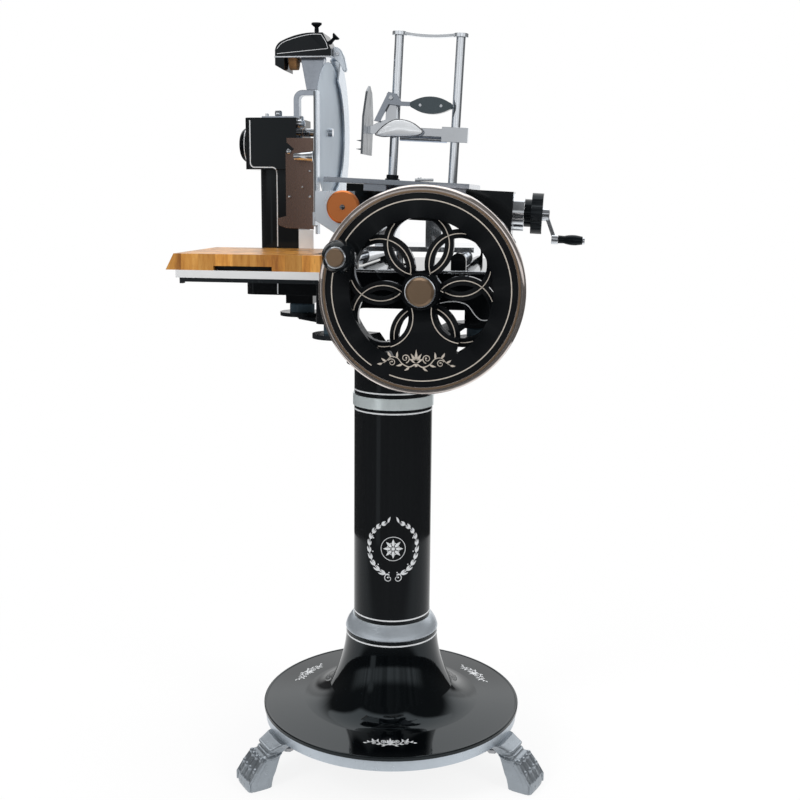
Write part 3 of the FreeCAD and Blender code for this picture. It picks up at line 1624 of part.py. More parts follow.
def feed_grip():
    """The waisted grip, loose on its pin."""
    radius = S.grip_radius
    length = S.grip_length
    profile = [
        (GRIP_PIN + S.fit, 0),
        (radius * 0.8, 0),
        (radius * 0.75, length * 0.25),
        (radius, length * 0.75, 60),
        (radius * 0.8, length),
        (GRIP_PIN + S.fit, length),
    ]
    start = CRANK_EYE + 12.4
    return piece("feed_grip", leaned(turned(profile, start, 0, -S.screw_axis - S.crank_arm, "x")))


TABLE_BOTTOM = S.slide_gap


def table_plate():
    """The table with two guides over the bed's sides and a block under its front edge."""
    length = S.table_left + S.table_right
    sheet = box(-S.table_left, -S.table_half_width, TABLE_BOTTOM, length, 2 * S.table_half_width, S.table_thickness)
    half = S.slide_half_width + S.slide_gap
    guides = [
        box(-150, half, -12, 150 + S.table_right - 12, 8, 13),
        box(-150, -half - 8, -12, 150 + S.table_right - 12, 8, 13),
        box(-142, 2 - S.table_half_width, -12, 40, 10, 13),
    ]
    holes = []
    for across in (S.post_left, S.post_right):
        holes.append(rod("z", S.post_radius + S.fit, S.table_thickness, across, S.post_back, TABLE_BOTTOM + 2))
    return piece("table_plate", leaned(cut(fuse(sheet, *guides), *holes)))


def feed_nut():
    """The nut on the screw, with the stem that carries the table."""
    start = -S.nut_x - 20
    block = box(start, -12, -S.screw_axis - 12, 40, 24, 24)
    stem = box(start + 4, -NUT_STEM, -S.screw_axis, 32, 2 * NUT_STEM, S.screw_axis + TABLE_BOTTOM)
    bore = rod("x", S.screw_radius + S.fit, 42, start - 1, 0, -S.screw_axis)
    return piece("feed_nut", leaned(cut(fuse(block, stem), bore)))


def guide_posts():
    """Two upright posts for the press, screwed into the table."""
    bottom = TABLE_BOTTOM + 2
    posts = []
    for across in (S.post_left, S.post_right):
        posts.append(rod("z", S.post_radius, S.post_length, across, S.post_back, bottom))
    return piece("guide_posts", leaned(group(*posts)))


POST_TOP = TABLE_BOTTOM + 2 + S.post_length


def crossbar():
    """The thin dipping bar that ties the posts' heads, with a round cap on each."""
    half = 8
    end = S.post_radius + 3
    dip = 330
    high = POST_TOP + 2
    low = high - S.crossbar_height
    outline = [
        (S.post_left - end, high),
        (S.post_left + end, high),
        (S.post_right - end, high, dip),
        (S.post_right + end, high),
        (S.post_right + end, low),
        (S.post_right - end, low),
        (S.post_left + end, low, -dip),
        (S.post_left - end, low),
    ]
    bar = plate("y", outline, 2 * half, 0, S.post_back - half, 0)
    caps = []
    sockets = []
    for across in (S.post_left, S.post_right):
        caps.append(rod("z", end + 2, S.crossbar_height + 2, across, S.post_back, low - 1))
        sockets.append(rod("z", S.post_radius + S.fit, 8, across, S.post_back, POST_TOP - 8))
    return piece("crossbar", leaned(cut(fuse(bar, *caps), *sockets)))


# ---------------------------------------------------------------- press

ARM_HALF = 14
LEVER_PIN = Size(4.0, "(4)")


def press_arm():
    """The sliding arm: a bar with an arch over the left post, a clamp at the right one and the lever's lug."""
    low = S.press_height - 8
    high = S.press_height + 7
    outline = [
        (S.claw_x + 4, low),
        (S.post_right - 25, low),
        (S.post_right - 25, low - 9),
        (S.post_right + 25, low - 9),
        (S.post_right + 25, high + 4),
        (S.post_right - 25, high + 4),
        (S.post_right - 25, high),
        (S.post_left + 48, high),
        (S.post_left + 44, high - 1),
        (S.post_left + 3, high + 16, 150),
        (S.post_left - 40, high + 2, 90),
        (S.claw_x + 4, high - 2),
    ]
    front = S.post_back - ARM_HALF
    body = plate("y", outline, 2 * ARM_HALF, 0, front, 0)
    lock = rod("x", 5.5, 92, S.post_left + 11, S.post_back, low - 5)
    lug_x = S.lever_pivot_x
    lug = box(lug_x - 10, front, S.press_height, 20, 5, S.lever_pivot_height - S.press_height + 9)
    pin = rod("y", LEVER_PIN, 13, lug_x, front - 12, S.lever_pivot_height)
    bores = []
    for across in (S.post_left, S.post_right):
        bores.append(rod("z", S.post_radius + S.fit, 60, across, S.post_back, low - 20))
    return piece("press_arm", leaned(cut(fuse(body, lock, lug, pin), *bores)))


def claw_plate():
    """The pointed plate at the arm's end, with rows of sharp pins towards the blade."""
    half = S.claw_half_width
    middle = S.post_back
    outline = [
        (middle - half, S.claw_bottom),
        (middle + half, S.claw_bottom),
        (middle + half, S.claw_bottom + 70),
        (middle + half / 2, S.claw_top - 12),
        (middle, S.claw_top),
        (middle - half / 2, S.claw_top - 12),
        (middle - half, S.claw_bottom + 70),
    ]
    left = S.claw_x
    sheet = plate("x", outline, S.claw_thickness, left, 0, 0)
    pins = []
    for row in range(2):
        for column in range(5):
            along = middle + (column - 2) * half * 0.42
            above = S.claw_bottom + 9 + row * 16
            pins.append(cone("x", 0.4, 1.8, 11, left - 10, along, above))
    return piece("claw_plate", leaned(fuse(sheet, *pins)))


LEVER_FRONT = S.post_back - ARM_HALF - 0.4 - 8


def press_lever():
    """The lever on its pin, its tail by the claw and its tang in the grip."""
    x = S.lever_pivot_x
    z = S.lever_pivot_height
    outline = [
        (x - 31, z - 44),
        (x - 20, z - 46),
        (x - 4, z - 12),
        (x + 14, z - 14),
        (x + 110, z - 14),
        (x + 110, z - 6),
        (x + 20, z - 6),
        (x + 10, z + 8),
        (x - 6, z + 11),
    ]
    body = plate("y", outline, 8, 0, LEVER_FRONT, 0)
    bore = rod("y", LEVER_PIN + S.fit, 12, x, LEVER_FRONT - 1, z)
    return piece("press_lever", leaned(cut(body, bore)))


def lever_grip():
    """The black oval grip, slotted over the lever's tang."""
    x = S.lever_pivot_x
    z = S.lever_pivot_height - 11
    half_length = 35
    end = 6.5
    middle = x + 78
    outline = [
        (middle + half_length, z - end, 69),
        (middle + half_length, z + end, end * 1.01),
        (middle - half_length, z + end, 69),
        (middle - half_length, z - end, end * 1.01),
    ]
    thickness = 18
    body = plate("y", outline, thickness, 0, LEVER_FRONT + 4 - thickness / 2, 0)
    slot = box(x + 20, LEVER_FRONT - S.fit, S.lever_pivot_height - 14 - S.fit, 100, 8 + 2 * S.fit, 8 + 2 * S.fit)
    return piece("lever_grip", leaned(cut(body, slot)))


# ---------------------------------------------------------------- flywheel

WHEEL_FRONT = S.wheel_y - S.wheel_depth / 2
HUB_FRONT = WHEEL_FRONT - 7
HUB_LENGTH = 58
KNOB_X = S.wheel_axis_x - S.wheel_radius + S.knob_x
KNOB_Z = S.shaft_axis_z + S.knob_z


def petal_spots():
    """The centres of the petals in the wheel's own plane, the lowest petal first."""
    count = DIMENSIONS["petal_count"]
    angles = [90 - S.petal_turn + 360 / count * number for number in range(count)]
    return [(S.petal_circle * cosine(angle), S.petal_circle * sine(angle)) for angle in angles]


def flywheel():
    """The cast wheel: a flat rim, six ring-shaped petals and a hub, filled in between hub and rim at the bottom."""
    casting_radius = S.wheel_radius - S.rim_band
    depth = S.petal_depth
    start = (S.wheel_depth - depth) / 2
    rim = turned(ring_profile(S.opening_radius, casting_radius, S.wheel_depth), 0, 0, 0)
    spots = petal_spots()
    petals = [turned(ring_profile(S.petal_inner, S.petal_outer, depth), x, y, start) for x, y in spots]
    lowest_x, lowest_y = spots[0]
    filling = rod("z", S.petal_outer, start + depth, lowest_x, lowest_y, 0)
    half = S.apron_half_width
    turn = 90 - S.petal_turn
    apron = box(0, 0, 0, S.opening_radius + 4, 2 * half, start + depth)
    apron = place(apron, half * sine(turn), -half * cosine(turn), 0, (0, 0, 1), turn)
    windows = [rod("z", S.petal_inner, S.wheel_depth, x, y, 0) for x, y in spots[1:]]
    bottom = cut(fuse(filling, apron), *windows)
    limit = rod("z", S.opening_radius + 8, S.wheel_depth, 0, 0, 0)
    cluster = common(fuse(*petals, bottom), limit)
    hub = rod("z", S.hub_radius, HUB_LENGTH, 0, 0, -7)
    bore = rod("z", S.main_shaft_radius + S.fit, HUB_LENGTH + 2, 0, 0, -8)
    knob_x = KNOB_X - S.wheel_axis_x
    knob_hole = rod("z", S.knob_bolt_radius + S.fit, S.wheel_depth - 8, knob_x, -S.knob_z, -1)
    wheel = cut(fuse(rim, cluster, hub), bore, knob_hole)
    return piece("flywheel", place(wheel, S.wheel_axis_x, WHEEL_FRONT, S.shaft_axis_z, *AXIS_TURNS["y"]))


def flywheel_rim():
    """The polished band round the wheel, rounded over to the front."""
    inner = S.wheel_radius - S.rim_band + S.fit
    outer = S.wheel_radius
    depth = S.wheel_depth
    profile = [
        (inner, -2),
        (outer - 7, -2),
        (outer, 5, 7),
        (outer, depth - 5),
        (outer - 5, depth),
        (inner, depth),
    ]
    return piece("flywheel_rim", turned(profile, S.wheel_axis_x, WHEEL_FRONT, S.shaft_axis_z, "y"))


def hub_cap():
    """The bronze cap on the hub."""
    radius = S.cap_radius
    height = S.cap_height
    profile = [(0, 0), (radius - 4, 0), (radius, 4), (radius, height), (0, height)]
    return piece("hub_cap", turned(profile, S.wheel_axis_x, HUB_FRONT - height, S.shaft_axis_z, "y"))


KNOB_BACK = WHEEL_FRONT - 2.4


def flywheel_knob():
    """The turned knob, loose on its bolt."""
    bore = S.knob_bolt_radius + S.fit
    length = S.knob_length
    radius = S.knob_radius
    profile = [
        (bore, 0),
        (radius - 11, 0),
        (radius, 30, 42),
        (radius, length - 16),
        (radius - 4, length - 6),
        (radius - 12, length),
        (bore, length),
    ]
    return piece("flywheel_knob", turned(profile, KNOB_X, KNOB_BACK - length, KNOB_Z, "y"))


def knob_bolt():
    """The bronze bolt through the knob, threaded into the rim."""
    head = 5
    front = KNOB_BACK - S.knob_length - 0.4 - head
    reach = WHEEL_FRONT + S.wheel_depth - 10
    cap = rod("y", S.knob_bolt_head, head, KNOB_X, front, KNOB_Z)
    shank = rod("y", S.knob_bolt_radius, reach - front, KNOB_X, front, KNOB_Z)
    return piece("knob_bolt", fuse(cap, shank))


MAKERS = (
    paw_feet, bolts, foot_ring, base_bell, lower_ring, column_tube, top_band, spider, tie_rod,
    machine_feet, base_casting, base_cover, bearing_bushes, guide_rods,
    blade_column, blade_housing, end_cap, strap_arm, drive_chain, blade_guard,
    sharpener_bracket, sharpener_cover, deflector_bracket, gauge_housing, slice_tray, tray_bracket, wooden_board,
    flywheel, flywheel_rim, hub_cap, main_shaft, flywheel_knob, knob_bolt,
    crown_gear, connecting_rod, cross_shaft, blade_sprocket, blade_shaft, blade,
    carriage_base, cross_slide, housing_ring, table_plate, feed_nut, guide_posts, crossbar,
    lead_screw, feed_wheel, feed_crank, feed_grip, press_arm, claw_plate, press_lever, lever_grip,
    slice_deflector, gauge_plate, gauge_knob, grinding_stone, top_knob, side_knob,
)

for maker in MAKERS:
    maker()

DOCUMENT.recompute()

for item in DOCUMENT.Objects:
    if {"Invalid", "Error"} & set(item.State):
        raise SystemExit(f"{item.Label} ({item.Name}) did not build: {item.getStatusString()}")

os.makedirs("parts", exist_ok=True)
for item in PIECES:
    if item.Shape.isNull() or not item.Shape.isValid():
        raise SystemExit(f"{item.Label} is not a sound solid")
    item.Shape.exportStep(f"parts/{item.Label}.step")
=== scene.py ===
"""Looks of the flywheel meat slicer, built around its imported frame.

Sizes and places are in millimetres and turned into Blender's metres by MM where a vertex is made. Those of the
lights, the floor and the camera are in metres.
"""

import json
import math

import bmesh
import bpy
from mathutils import Matrix, Vector


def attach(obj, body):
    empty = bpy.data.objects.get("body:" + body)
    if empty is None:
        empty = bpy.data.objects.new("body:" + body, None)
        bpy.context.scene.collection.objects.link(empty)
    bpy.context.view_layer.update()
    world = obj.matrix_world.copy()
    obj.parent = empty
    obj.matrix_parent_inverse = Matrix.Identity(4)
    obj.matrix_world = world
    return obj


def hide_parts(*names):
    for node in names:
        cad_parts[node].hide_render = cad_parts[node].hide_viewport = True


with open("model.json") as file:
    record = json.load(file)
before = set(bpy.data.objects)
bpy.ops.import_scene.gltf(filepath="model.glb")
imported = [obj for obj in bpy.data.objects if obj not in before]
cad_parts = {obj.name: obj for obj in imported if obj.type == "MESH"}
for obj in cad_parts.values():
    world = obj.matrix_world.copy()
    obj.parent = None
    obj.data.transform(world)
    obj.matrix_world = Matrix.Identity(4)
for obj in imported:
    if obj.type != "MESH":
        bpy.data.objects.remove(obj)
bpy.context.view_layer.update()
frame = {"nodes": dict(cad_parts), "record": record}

MM = 0.001


# ---------------------------------------------------------------- shader graphs
class Graph:
    """A node tree and short ways to add and join its nodes."""

    def __init__(self, tree):
        self.tree = tree
        self.tree.nodes.clear()

    def node(self, kind, **settings):
        made = self.tree.nodes.new(kind)
        for name, value in settings.items():
            setattr(made, name, value)
        return made

    def join(self, source, target):
        self.tree.links.new(source, target)

    def feed(self, socket, value):
        """Sets a socket to a plain number or colour, or joins an output to it."""
        if isinstance(value, (int, float)):
            socket.default_value = value
        elif isinstance(value, tuple):
            socket.default_value = (*value, 1)
        else:
            self.join(value, socket)

    def math(self, how, a, b):
        node = self.node("ShaderNodeMath", operation=how)
        self.feed(node.inputs[0], a)
        self.feed(node.inputs[1], b)
        return node.outputs[0]

    def mapped(self, source, low, high, start=0.0, end=1.0, easing="LINEAR"):
        """The source's span from start to end, carried over to the span from low to high."""
        node = self.node("ShaderNodeMapRange", interpolation_type=easing)
        for name, value in (("From Min", start), ("From Max", end), ("To Min", low), ("To Max", high)):
            node.inputs[name].default_value = value
        self.join(source, node.inputs["Value"])
        return node.outputs[0]

    def eased(self, source, start, end, low, high):
        """As mapped, with a soft start and end."""
        return self.mapped(source, low, high, start, end, "SMOOTHSTEP")

    def mix(self, kind, fac, a, b):
        """Between two numbers (FLOAT) or two colours (RGBA)."""
        node = self.node("ShaderNodeMix", data_type=kind)
        for name, value in (("Factor", fac), ("A", a), ("B", b)):
            self.feed(node.inputs[name], value)
        return node.outputs["Result"]

    def split(self, vector):
        node = self.node("ShaderNodeSeparateXYZ")
        self.join(vector, node.inputs[0])
        return node.outputs


class Nodes(Graph):
    """A principled material whose textures lie fast on the piece."""

    def __init__(self, name):
        self.material = bpy.data.materials.new(name)
        self.material.use_nodes = True
        super().__init__(self.material.node_tree)
        self.shader = self.node("ShaderNodeBsdfPrincipled")
        self.join(self.shader.outputs[0], self.node("ShaderNodeOutputMaterial").inputs[0])
        self.place = self.node("ShaderNodeTexCoord").outputs["Object"]
        self.sharpness = self.node("ShaderNodeNewGeometry").outputs["Pointiness"]

    def set(self, **values):
        for name, value in values.items():
            self.shader.inputs[name.replace("_", " ")].default_value = value

    def paint(self, colour):
        self.join(colour, self.shader.inputs["Base Color"])

    def gloss(self, roughness):
        self.join(roughness, self.shader.inputs["Roughness"])

    def noise(self, scale, detail=4.0, rough=0.55, place=None, stretch=None):
        node = self.node("ShaderNodeTexNoise")
        for name, value in (("Scale", scale), ("Detail", detail), ("Roughness", rough)):
            node.inputs[name].default_value = value
        self.join(self.stretched(place or self.place, stretch), node.inputs["Vector"])
        return node.outputs["Fac"]

    def stretched(self, place, stretch):
        if stretch is None:
            return place
        node = self.node("ShaderNodeMapping")
        node.inputs["Scale"].default_value = stretch
        self.join(place, node.inputs["Vector"])
        return node.outputs[0]

    def ramp(self, fac, stops):
        node = self.node("ShaderNodeValToRGB")
        elements = node.color_ramp.elements
        while len(elements) < len(stops):
            elements.new(0.5)
        for element, (position, colour) in zip(elements, stops):
            element.position = position
            element.color = (*colour, 1)
        self.join(fac, node.inputs["Fac"])
        return node.outputs["Color"]

    def bump(self, height, strength, distance):
        node = self.node("ShaderNodeBump")
        node.inputs["Strength"].default_value = strength
        node.inputs["Distance"].default_value = distance
        self.join(height, node.inputs["Height"])
        last = self.shader.inputs["Normal"]
        if last.is_linked:
            self.join(last.links[0].from_socket, node.inputs["Normal"])
        self.join(node.outputs[0], last)

    def soften(self, radius):
        """Rounds the look of sharp edges, as buffing does."""
        node = self.node("ShaderNodeBevel", samples=BEVEL_SAMPLES)
        node.inputs["Radius"].default_value = radius
        self.join(node.outputs[0], self.shader.inputs["Normal"])

    def rubbed(self, full):
        """None on flat faces, whole on edges as sharp as full."""
        return self.mapped(self.sharpness, 0, 1, EDGE_START, full)


# ---------------------------------------------------------------- materials
BEVEL_SAMPLES = 4
EDGE_START = 0.53
EDGE_RADIUS, CASTING_EDGE_RADIUS = 0.0012, 0.0026
SKY_TINT = (0.80, 0.93, 1.0, 1)


def scaled(colour, share):
    return tuple(min(1, channel * share) for channel in colour)


def painted(name, colour, rough=0.055, peel=0.012, index=1.28, edge_radius=EDGE_RADIUS):
    """Gloss enamel with a faint orange peel, soft cloudiness and a few rubbed places."""
    m = Nodes(name)
    rubbed_colour = tuple(channel * 1.8 + 0.006 for channel in colour)
    shade = m.ramp(m.noise(9, 5), [(0.35, colour), (0.75, scaled(colour, 1.35))])
    m.paint(m.mix("RGBA", m.rubbed(0.66), shade, rubbed_colour))
    m.gloss(m.mapped(m.noise(40, 6, 0.7), rough * 0.6, rough * 1.7, 0.3, 0.8))
    m.soften(edge_radius)
    m.bump(m.noise(240, 2), peel, 0.0003)
    m.set(IOR=index, Specular_Tint=SKY_TINT)
    return m.material


def metal(name, colour, rough, stretch=None, streak=0.3, ripple=0.015, metallic=1.0, tarnish=0.08):
    """Bare or plated metal: polishing streaks in its gloss, slight tarnish, a gentle ripple."""
    m = Nodes(name)
    shade = m.ramp(m.noise(11, 3, 0.5), [(0.3, scaled(colour, 1 - tarnish)), (0.7, colour)])
    m.paint(m.mix("RGBA", m.rubbed(0.68), shade, scaled(colour, 1.10)))
    grain = m.noise(160, 3, 0.6, stretch=stretch)
    m.gloss(m.mapped(grain, rough * (1 - streak), rough * (1 + 1.6 * streak), 0.25, 0.8))
    m.soften(EDGE_RADIUS)
    m.bump(m.noise(28, 2), ripple, 0.0008)
    m.set(Metallic=metallic)
    return m.material


def cast(name, colour, rough, metallic, grit):
    """Cast metal in aluminium paint: fine grit, darker in the hollows, rubbed bright on the edges."""
    m = Nodes(name)
    body = m.ramp(m.noise(22, 6, 0.6), [(0.3, scaled(colour, 0.82)), (0.7, colour)])
    hollow = m.mapped(m.sharpness, 1, 0, 0.40, 0.50)
    dark = m.mix("RGBA", hollow, body, scaled(colour, 0.35))
    m.paint(m.mix("RGBA", m.rubbed(0.64), dark, scaled(colour, 1.5)))
    m.gloss(m.mapped(m.noise(130, 5), rough * 0.8, rough * 1.3))
    m.bump(m.noise(520, 3, 0.7), grit, 0.0006)
    m.set(Metallic=metallic)
    return m.material


STAVE_WIDTH, STAVE_DEPTH = 0.031, 0.046
WOOD_DARK, WOOD_BODY, WOOD_LIGHT = (0.30, 0.105, 0.016), (0.58, 0.25, 0.042), (0.80, 0.42, 0.105)
WOOD_PORE = (0.16, 0.055, 0.012)


def end_grain(name):
    """Oiled end-grain staves glued side by side, each with its own tone and rings."""
    m = Nodes(name)
    x, y, _ = m.split(m.place)
    cell = m.node("ShaderNodeCombineXYZ")
    m.join(m.math("FLOOR", m.math("DIVIDE", x, STAVE_WIDTH), 0.0), cell.inputs["X"])
    m.join(m.math("FLOOR", m.math("DIVIDE", y, STAVE_DEPTH), 0.0), cell.inputs["Y"])
    tone = m.node("ShaderNodeTexWhiteNoise", noise_dimensions="3D")
    m.join(cell.outputs[0], tone.inputs["Vector"])
    shifted = m.node("ShaderNodeVectorMath", operation="ADD")
    m.join(m.place, shifted.inputs[0])
    m.join(tone.outputs["Color"], shifted.inputs[1])
    rings = m.noise(55, 8, 0.62, place=shifted.outputs[0], stretch=(1.0, 1.0, 0.15))
    pores = m.noise(900, 3, 0.7, place=shifted.outputs[0], stretch=(1.0, 1.0, 0.1))
    shade = m.node("ShaderNodeVectorMath", operation="SCALE")
    m.join(m.ramp(rings, [(0.32, WOOD_DARK), (0.48, WOOD_BODY), (0.7, WOOD_LIGHT)]), shade.inputs[0])
    m.join(m.mapped(tone.outputs["Value"], 0.62, 1.12), shade.inputs["Scale"])
    m.paint(m.mix("RGBA", m.mapped(pores, 0, 0.55, 0.58, 0.75), shade.outputs[0], WOOD_PORE))
    m.gloss(m.mapped(rings, 0.36, 0.28))
    m.bump(pores, 0.12, 0.0004)
    m.set(Specular_IOR_Level=0.48)
    return m.material


def grit_stone(name, colour):
    """Bonded grit of the grinding stone."""
    m = Nodes(name)
    m.paint(m.ramp(m.noise(700, 4, 0.8), [(0.3, scaled(colour, 0.5)), (0.7, colour)]))
    m.bump(m.noise(900, 4, 0.8), 0.5, 0.0006)
    m.set(Roughness=0.9)
    return m.material


def line_paint(name, colour):
    """Brushed-on line paint: slightly uneven, thin where the brush lifted."""
    m = Nodes(name)
    m.paint(m.ramp(m.noise(160, 4, 0.6), [(0.3, scaled(colour, 0.82)), (0.7, colour)]))
    m.gloss(m.mapped(m.noise(420, 3), 0.26, 0.42))
    m.bump(m.noise(700, 2), 0.08, 0.0003)
    m.set(Metallic=0.25)
    return m.material


BLACK = (0.0016, 0.0020, 0.0025)
MATERIALS = {
    "enamel": painted("enamel", BLACK),
    "foot_paint": painted("foot_paint", (0.030, 0.048, 0.062), 0.16, 0.03),
    "cast_black": painted("cast_black", (0.004, 0.005, 0.006), 0.22, 0.06),
    "silver_paint": cast("silver_paint", (0.60, 0.66, 0.72), 0.30, 0.65, 0.03),
    "cast_silver": cast("cast_silver", (0.37, 0.41, 0.45), 0.28, 0.80, 0.10),
    "chrome": metal("chrome", (0.80, 0.84, 0.89), 0.06, None, 0.3, 0.002, 0.95),
    "stainless": metal("stainless", (0.64, 0.70, 0.76), 0.17, (1, 1, 0.05), 0.4, 0.002, 0.88),
    "steel": metal("steel", (0.40, 0.41, 0.43), 0.28, (1, 0.1, 1), 0.5, 0.03),
    "copper": metal("copper", (0.82, 0.27, 0.085), 0.34, None, 0.06, 0.0, 0.85, 0.04),
    "bronze": metal("bronze", (0.36, 0.25, 0.165), 0.32, None, 0.06, 0.0, 0.88, 0.05),
    "wood": end_grain("wood"),
    "black_resin": painted("black_resin", (0.004, 0.005, 0.006), 0.06, 0.008),
    "abrasive": grit_stone("abrasive", (0.42, 0.22, 0.09)),
}
BELL_ENAMEL = painted("bell_enamel", (0.0008, 0.0012, 0.0016), index=1.45)
WHEEL_ENAMEL = painted("wheel_enamel", BLACK, edge_radius=CASTING_EDGE_RADIUS)
GRIP_RESIN = painted("grip_resin", (0.024, 0.031, 0.035), 0.12, 0.02, 1.5)
BACKING = metal("deflector_steel", (0.17, 0.115, 0.095), 0.26, (1, 1, 0.3), 0.1, 0.001, 0.80, 0.05)
WARM_CHROME = metal("rim_chrome", (0.86, 0.78, 0.74), 0.07, None, 0.15, 0.001, 0.96)
SATIN = metal("blade_satin", (0.62, 0.71, 0.80), 0.38, (1, 1, 0.1), 0.15, 0.0, 0.80)
# chrome made mostly matte and near white for the slice tray and the press shield: its whiteness is painted highlight
HIGHLIGHT_CHROME = metal("chrome_painted_highlight", (0.92, 0.95, 0.98), 0.16, None, 0.2, 0.001, 0.40)
SHADED = metal("shaded_chrome", (0.40, 0.44, 0.50), 0.14, None, 0.3, 0.004, 0.95)
# chrome with a pale matte share for the guard, the gauge and the lug: painted sheen
SHEEN_CHROME = metal("chrome_painted_sheen", (0.72, 0.79, 0.87), 0.22, (1, 1, 0.1), 0.25, 0.0015, 0.70, 0.04)
# a darker copy of steel for the claw plate and the gauge's folded edge: painted dark reflection
DARK_REFLECTION_STEEL = metal("steel_painted_dark_reflection", (0.20, 0.22, 0.24), 0.26, (1, 1, 0.2), 0.3, 0.01, 0.85)
LINE_WHITE = line_paint("line_white", (0.80, 0.82, 0.84))
LINE_WARM = line_paint("line_warm", (0.60, 0.54, 0.47))
# several pieces take lighter or darker copies of chrome and steel: painted highlight, painted sheen, painted shade
# and painted dark reflection
OWN_LOOKS = {
    "base_bell": BELL_ENAMEL, "flywheel": WHEEL_ENAMEL, "lever_grip": GRIP_RESIN, "slice_deflector": BACKING,
    "flywheel_rim": WARM_CHROME, "blade": SATIN, "slice_tray": HIGHLIGHT_CHROME, "claw_plate": DARK_REFLECTION_STEEL,
    "sharpener_bracket": SHADED, "strap_arm": SHADED, "press_lever": SHADED, "deflector_bracket": SHADED,
    "table_plate": SHADED, "blade_guard": SHEEN_CHROME, "gauge_plate": SHEEN_CHROME, "gauge_housing": SHEEN_CHROME,
}

for part in frame["record"]["subparts"]:
    node = frame["nodes"][part["node"]]
    node.data.materials.clear()
    node.data.materials.append(OWN_LOOKS.get(part["node"], MATERIALS[part["material_slot"]]))


# ---------------------------------------------------------------- mesh helpers (millimetres in, metres out)
AXES = {
    "x": Matrix(((0, 0, 1), (1, 0, 0), (0, 1, 0))),
    "front": Matrix(((1, 0, 0), (0, 0, -1), (0, 1, 0))),
    "z": Matrix.Identity(3),
}
# turned profiles that reach their axis stop this short of it, so that no face collapses
CORE = 0.02


def lathe(mesh, profile, centre, axis, steps):
    """A closed outline of (radius, height) corners turned about a named axis or a frame."""
    turn = AXES[axis] if isinstance(axis, str) else axis
    rings = []
    for step in range(steps):
        angle = 2 * math.pi * step / steps
        ring = []
        for radius, height in profile:
            spot = turn @ Vector((radius * math.cos(angle), radius * math.sin(angle), height))
            ring.append(mesh.verts.new((spot + Vector(centre)) * MM))
        rings.append(ring)
    for step in range(steps):
        here, there = rings[step], rings[(step + 1) % steps]
        for spot in range(len(profile)):
            after = (spot + 1) % len(profile)
            mesh.faces.new((here[spot], there[spot], there[after], here[after]))


def tube(mesh, path, radii, sides=12):
    """A round bar of changing radius swept along a path, with closed ends."""
    points = [Vector(point) for point in path]
    if isinstance(radii, (int, float)):
        radii = [radii] * len(points)
    side = None
    rings = []
    for number, (point, radius) in enumerate(zip(points, radii)):
        ahead = (points[min(number + 1, len(points) - 1)] - points[max(number - 1, 0)]).normalized()
        if side is None:
            side = ahead.orthogonal().normalized()
        side = (side - ahead * side.dot(ahead)).normalized()
        up = ahead.cross(side)
        ring = []
        for step in range(sides):
            angle = 2 * math.pi * step / sides
            offset = side * math.cos(angle) + up * math.sin(angle)
            ring.append(mesh.verts.new((point + offset * radius) * MM))
        rings.append(ring)
    for here, there in zip(rings, rings[1:]):
        for step in range(sides):
            after = (step + 1) % sides
            mesh.faces.new((here[step], here[after], there[after], there[step]))
    mesh.faces.new(list(reversed(rings[0])))
    mesh.faces.new(rings[-1])


def block(mesh, low, high, bevel):
    """A box between two corners with bevelled edges."""
    made = bmesh.ops.create_cube(mesh, size=1.0)["verts"]
    low, high = Vector(low), Vector(high)
    for vert in made:
        for axis in range(3):
            vert.co[axis] = (high[axis] if vert.co[axis] > 0 else low[axis]) * MM
    edges = dict.fromkeys(edge for vert in made for edge in vert.link_edges)
    bmesh.ops.bevel(mesh, geom=list(edges), offset=bevel * MM, segments=3, affect="EDGES", profile=0.7)


LINE_ROOT, LINE_CROWN, LEAST_WIDTH = 0.4, 0.82, 0.15


def stroke(mesh, points, normals, widths, lift=0.35):
    """A painted or inlaid line lying on a surface: a low arched strip with closed ends."""
    if isinstance(widths, (int, float)):
        widths = [widths] * len(points)
    rows = []
    for number, (point, normal, width) in enumerate(zip(points, normals, widths)):
        before = Vector(points[max(number - 1, 0)])
        after = Vector(points[min(number + 1, len(points) - 1)])
        along = (after - before).normalized()
        normal = Vector(normal).normalized()
        side = along.cross(normal).normalized() * max(width, LEAST_WIDTH) / 2
        point = Vector(point)
        low = point - normal * LINE_ROOT
        high = point + normal * lift
        row = [low - side, high - side * LINE_CROWN, high + side * LINE_CROWN, low + side]
        rows.append([mesh.verts.new(spot * MM) for spot in row])
    for here, there in zip(rows, rows[1:]):
        for number in range(4):
            after = (number + 1) % 4
            mesh.faces.new((here[number], here[after], there[after], there[number]))
    mesh.faces.new(list(reversed(rows[0])))
    mesh.faces.new(rows[-1])


def dot(mesh, point, normal, radius, lift=0.45):
    """A small round domed spot on a surface."""
    normal = Vector(normal).normalized()
    side = normal.orthogonal().normalized()
    up = normal.cross(side)
    turn = Matrix((side, up, normal)).transposed()
    profile = [(CORE, -LINE_ROOT), (radius, -LINE_ROOT), (radius, lift * 0.5), (radius * 0.6, lift), (CORE, lift)]
    lathe(mesh, profile, point, turn, 20)


def smooth_path(points, steps):
    """A smooth curve through flat points."""
    result = []
    for number in range(len(points) - 1):
        p0 = points[max(number - 1, 0)]
        p1, p2 = points[number], points[number + 1]
        p3 = points[min(number + 2, len(points) - 1)]
        for step in range(steps):
            t = step / steps
            spot = []
            for a, b, c, d in zip(p0, p1, p2, p3):
                spot.append(0.5 * (2 * b + (c - a) * t + (2 * a - 5 * b + 4 * c - d) * t * t
                                   + (3 * b - a - 3 * c + d) * t ** 3))
            result.append(tuple(spot))
    result.append(tuple(points[-1]))
    return result


def arc(centre, radius, start, end, steps):
    """Flat points on an arc, angles in degrees."""
    angles = [math.radians(start + (end - start) * step / steps) for step in range(steps + 1)]
    return [(centre[0] + radius * math.cos(angle), centre[1] + radius * math.sin(angle)) for angle in angles]


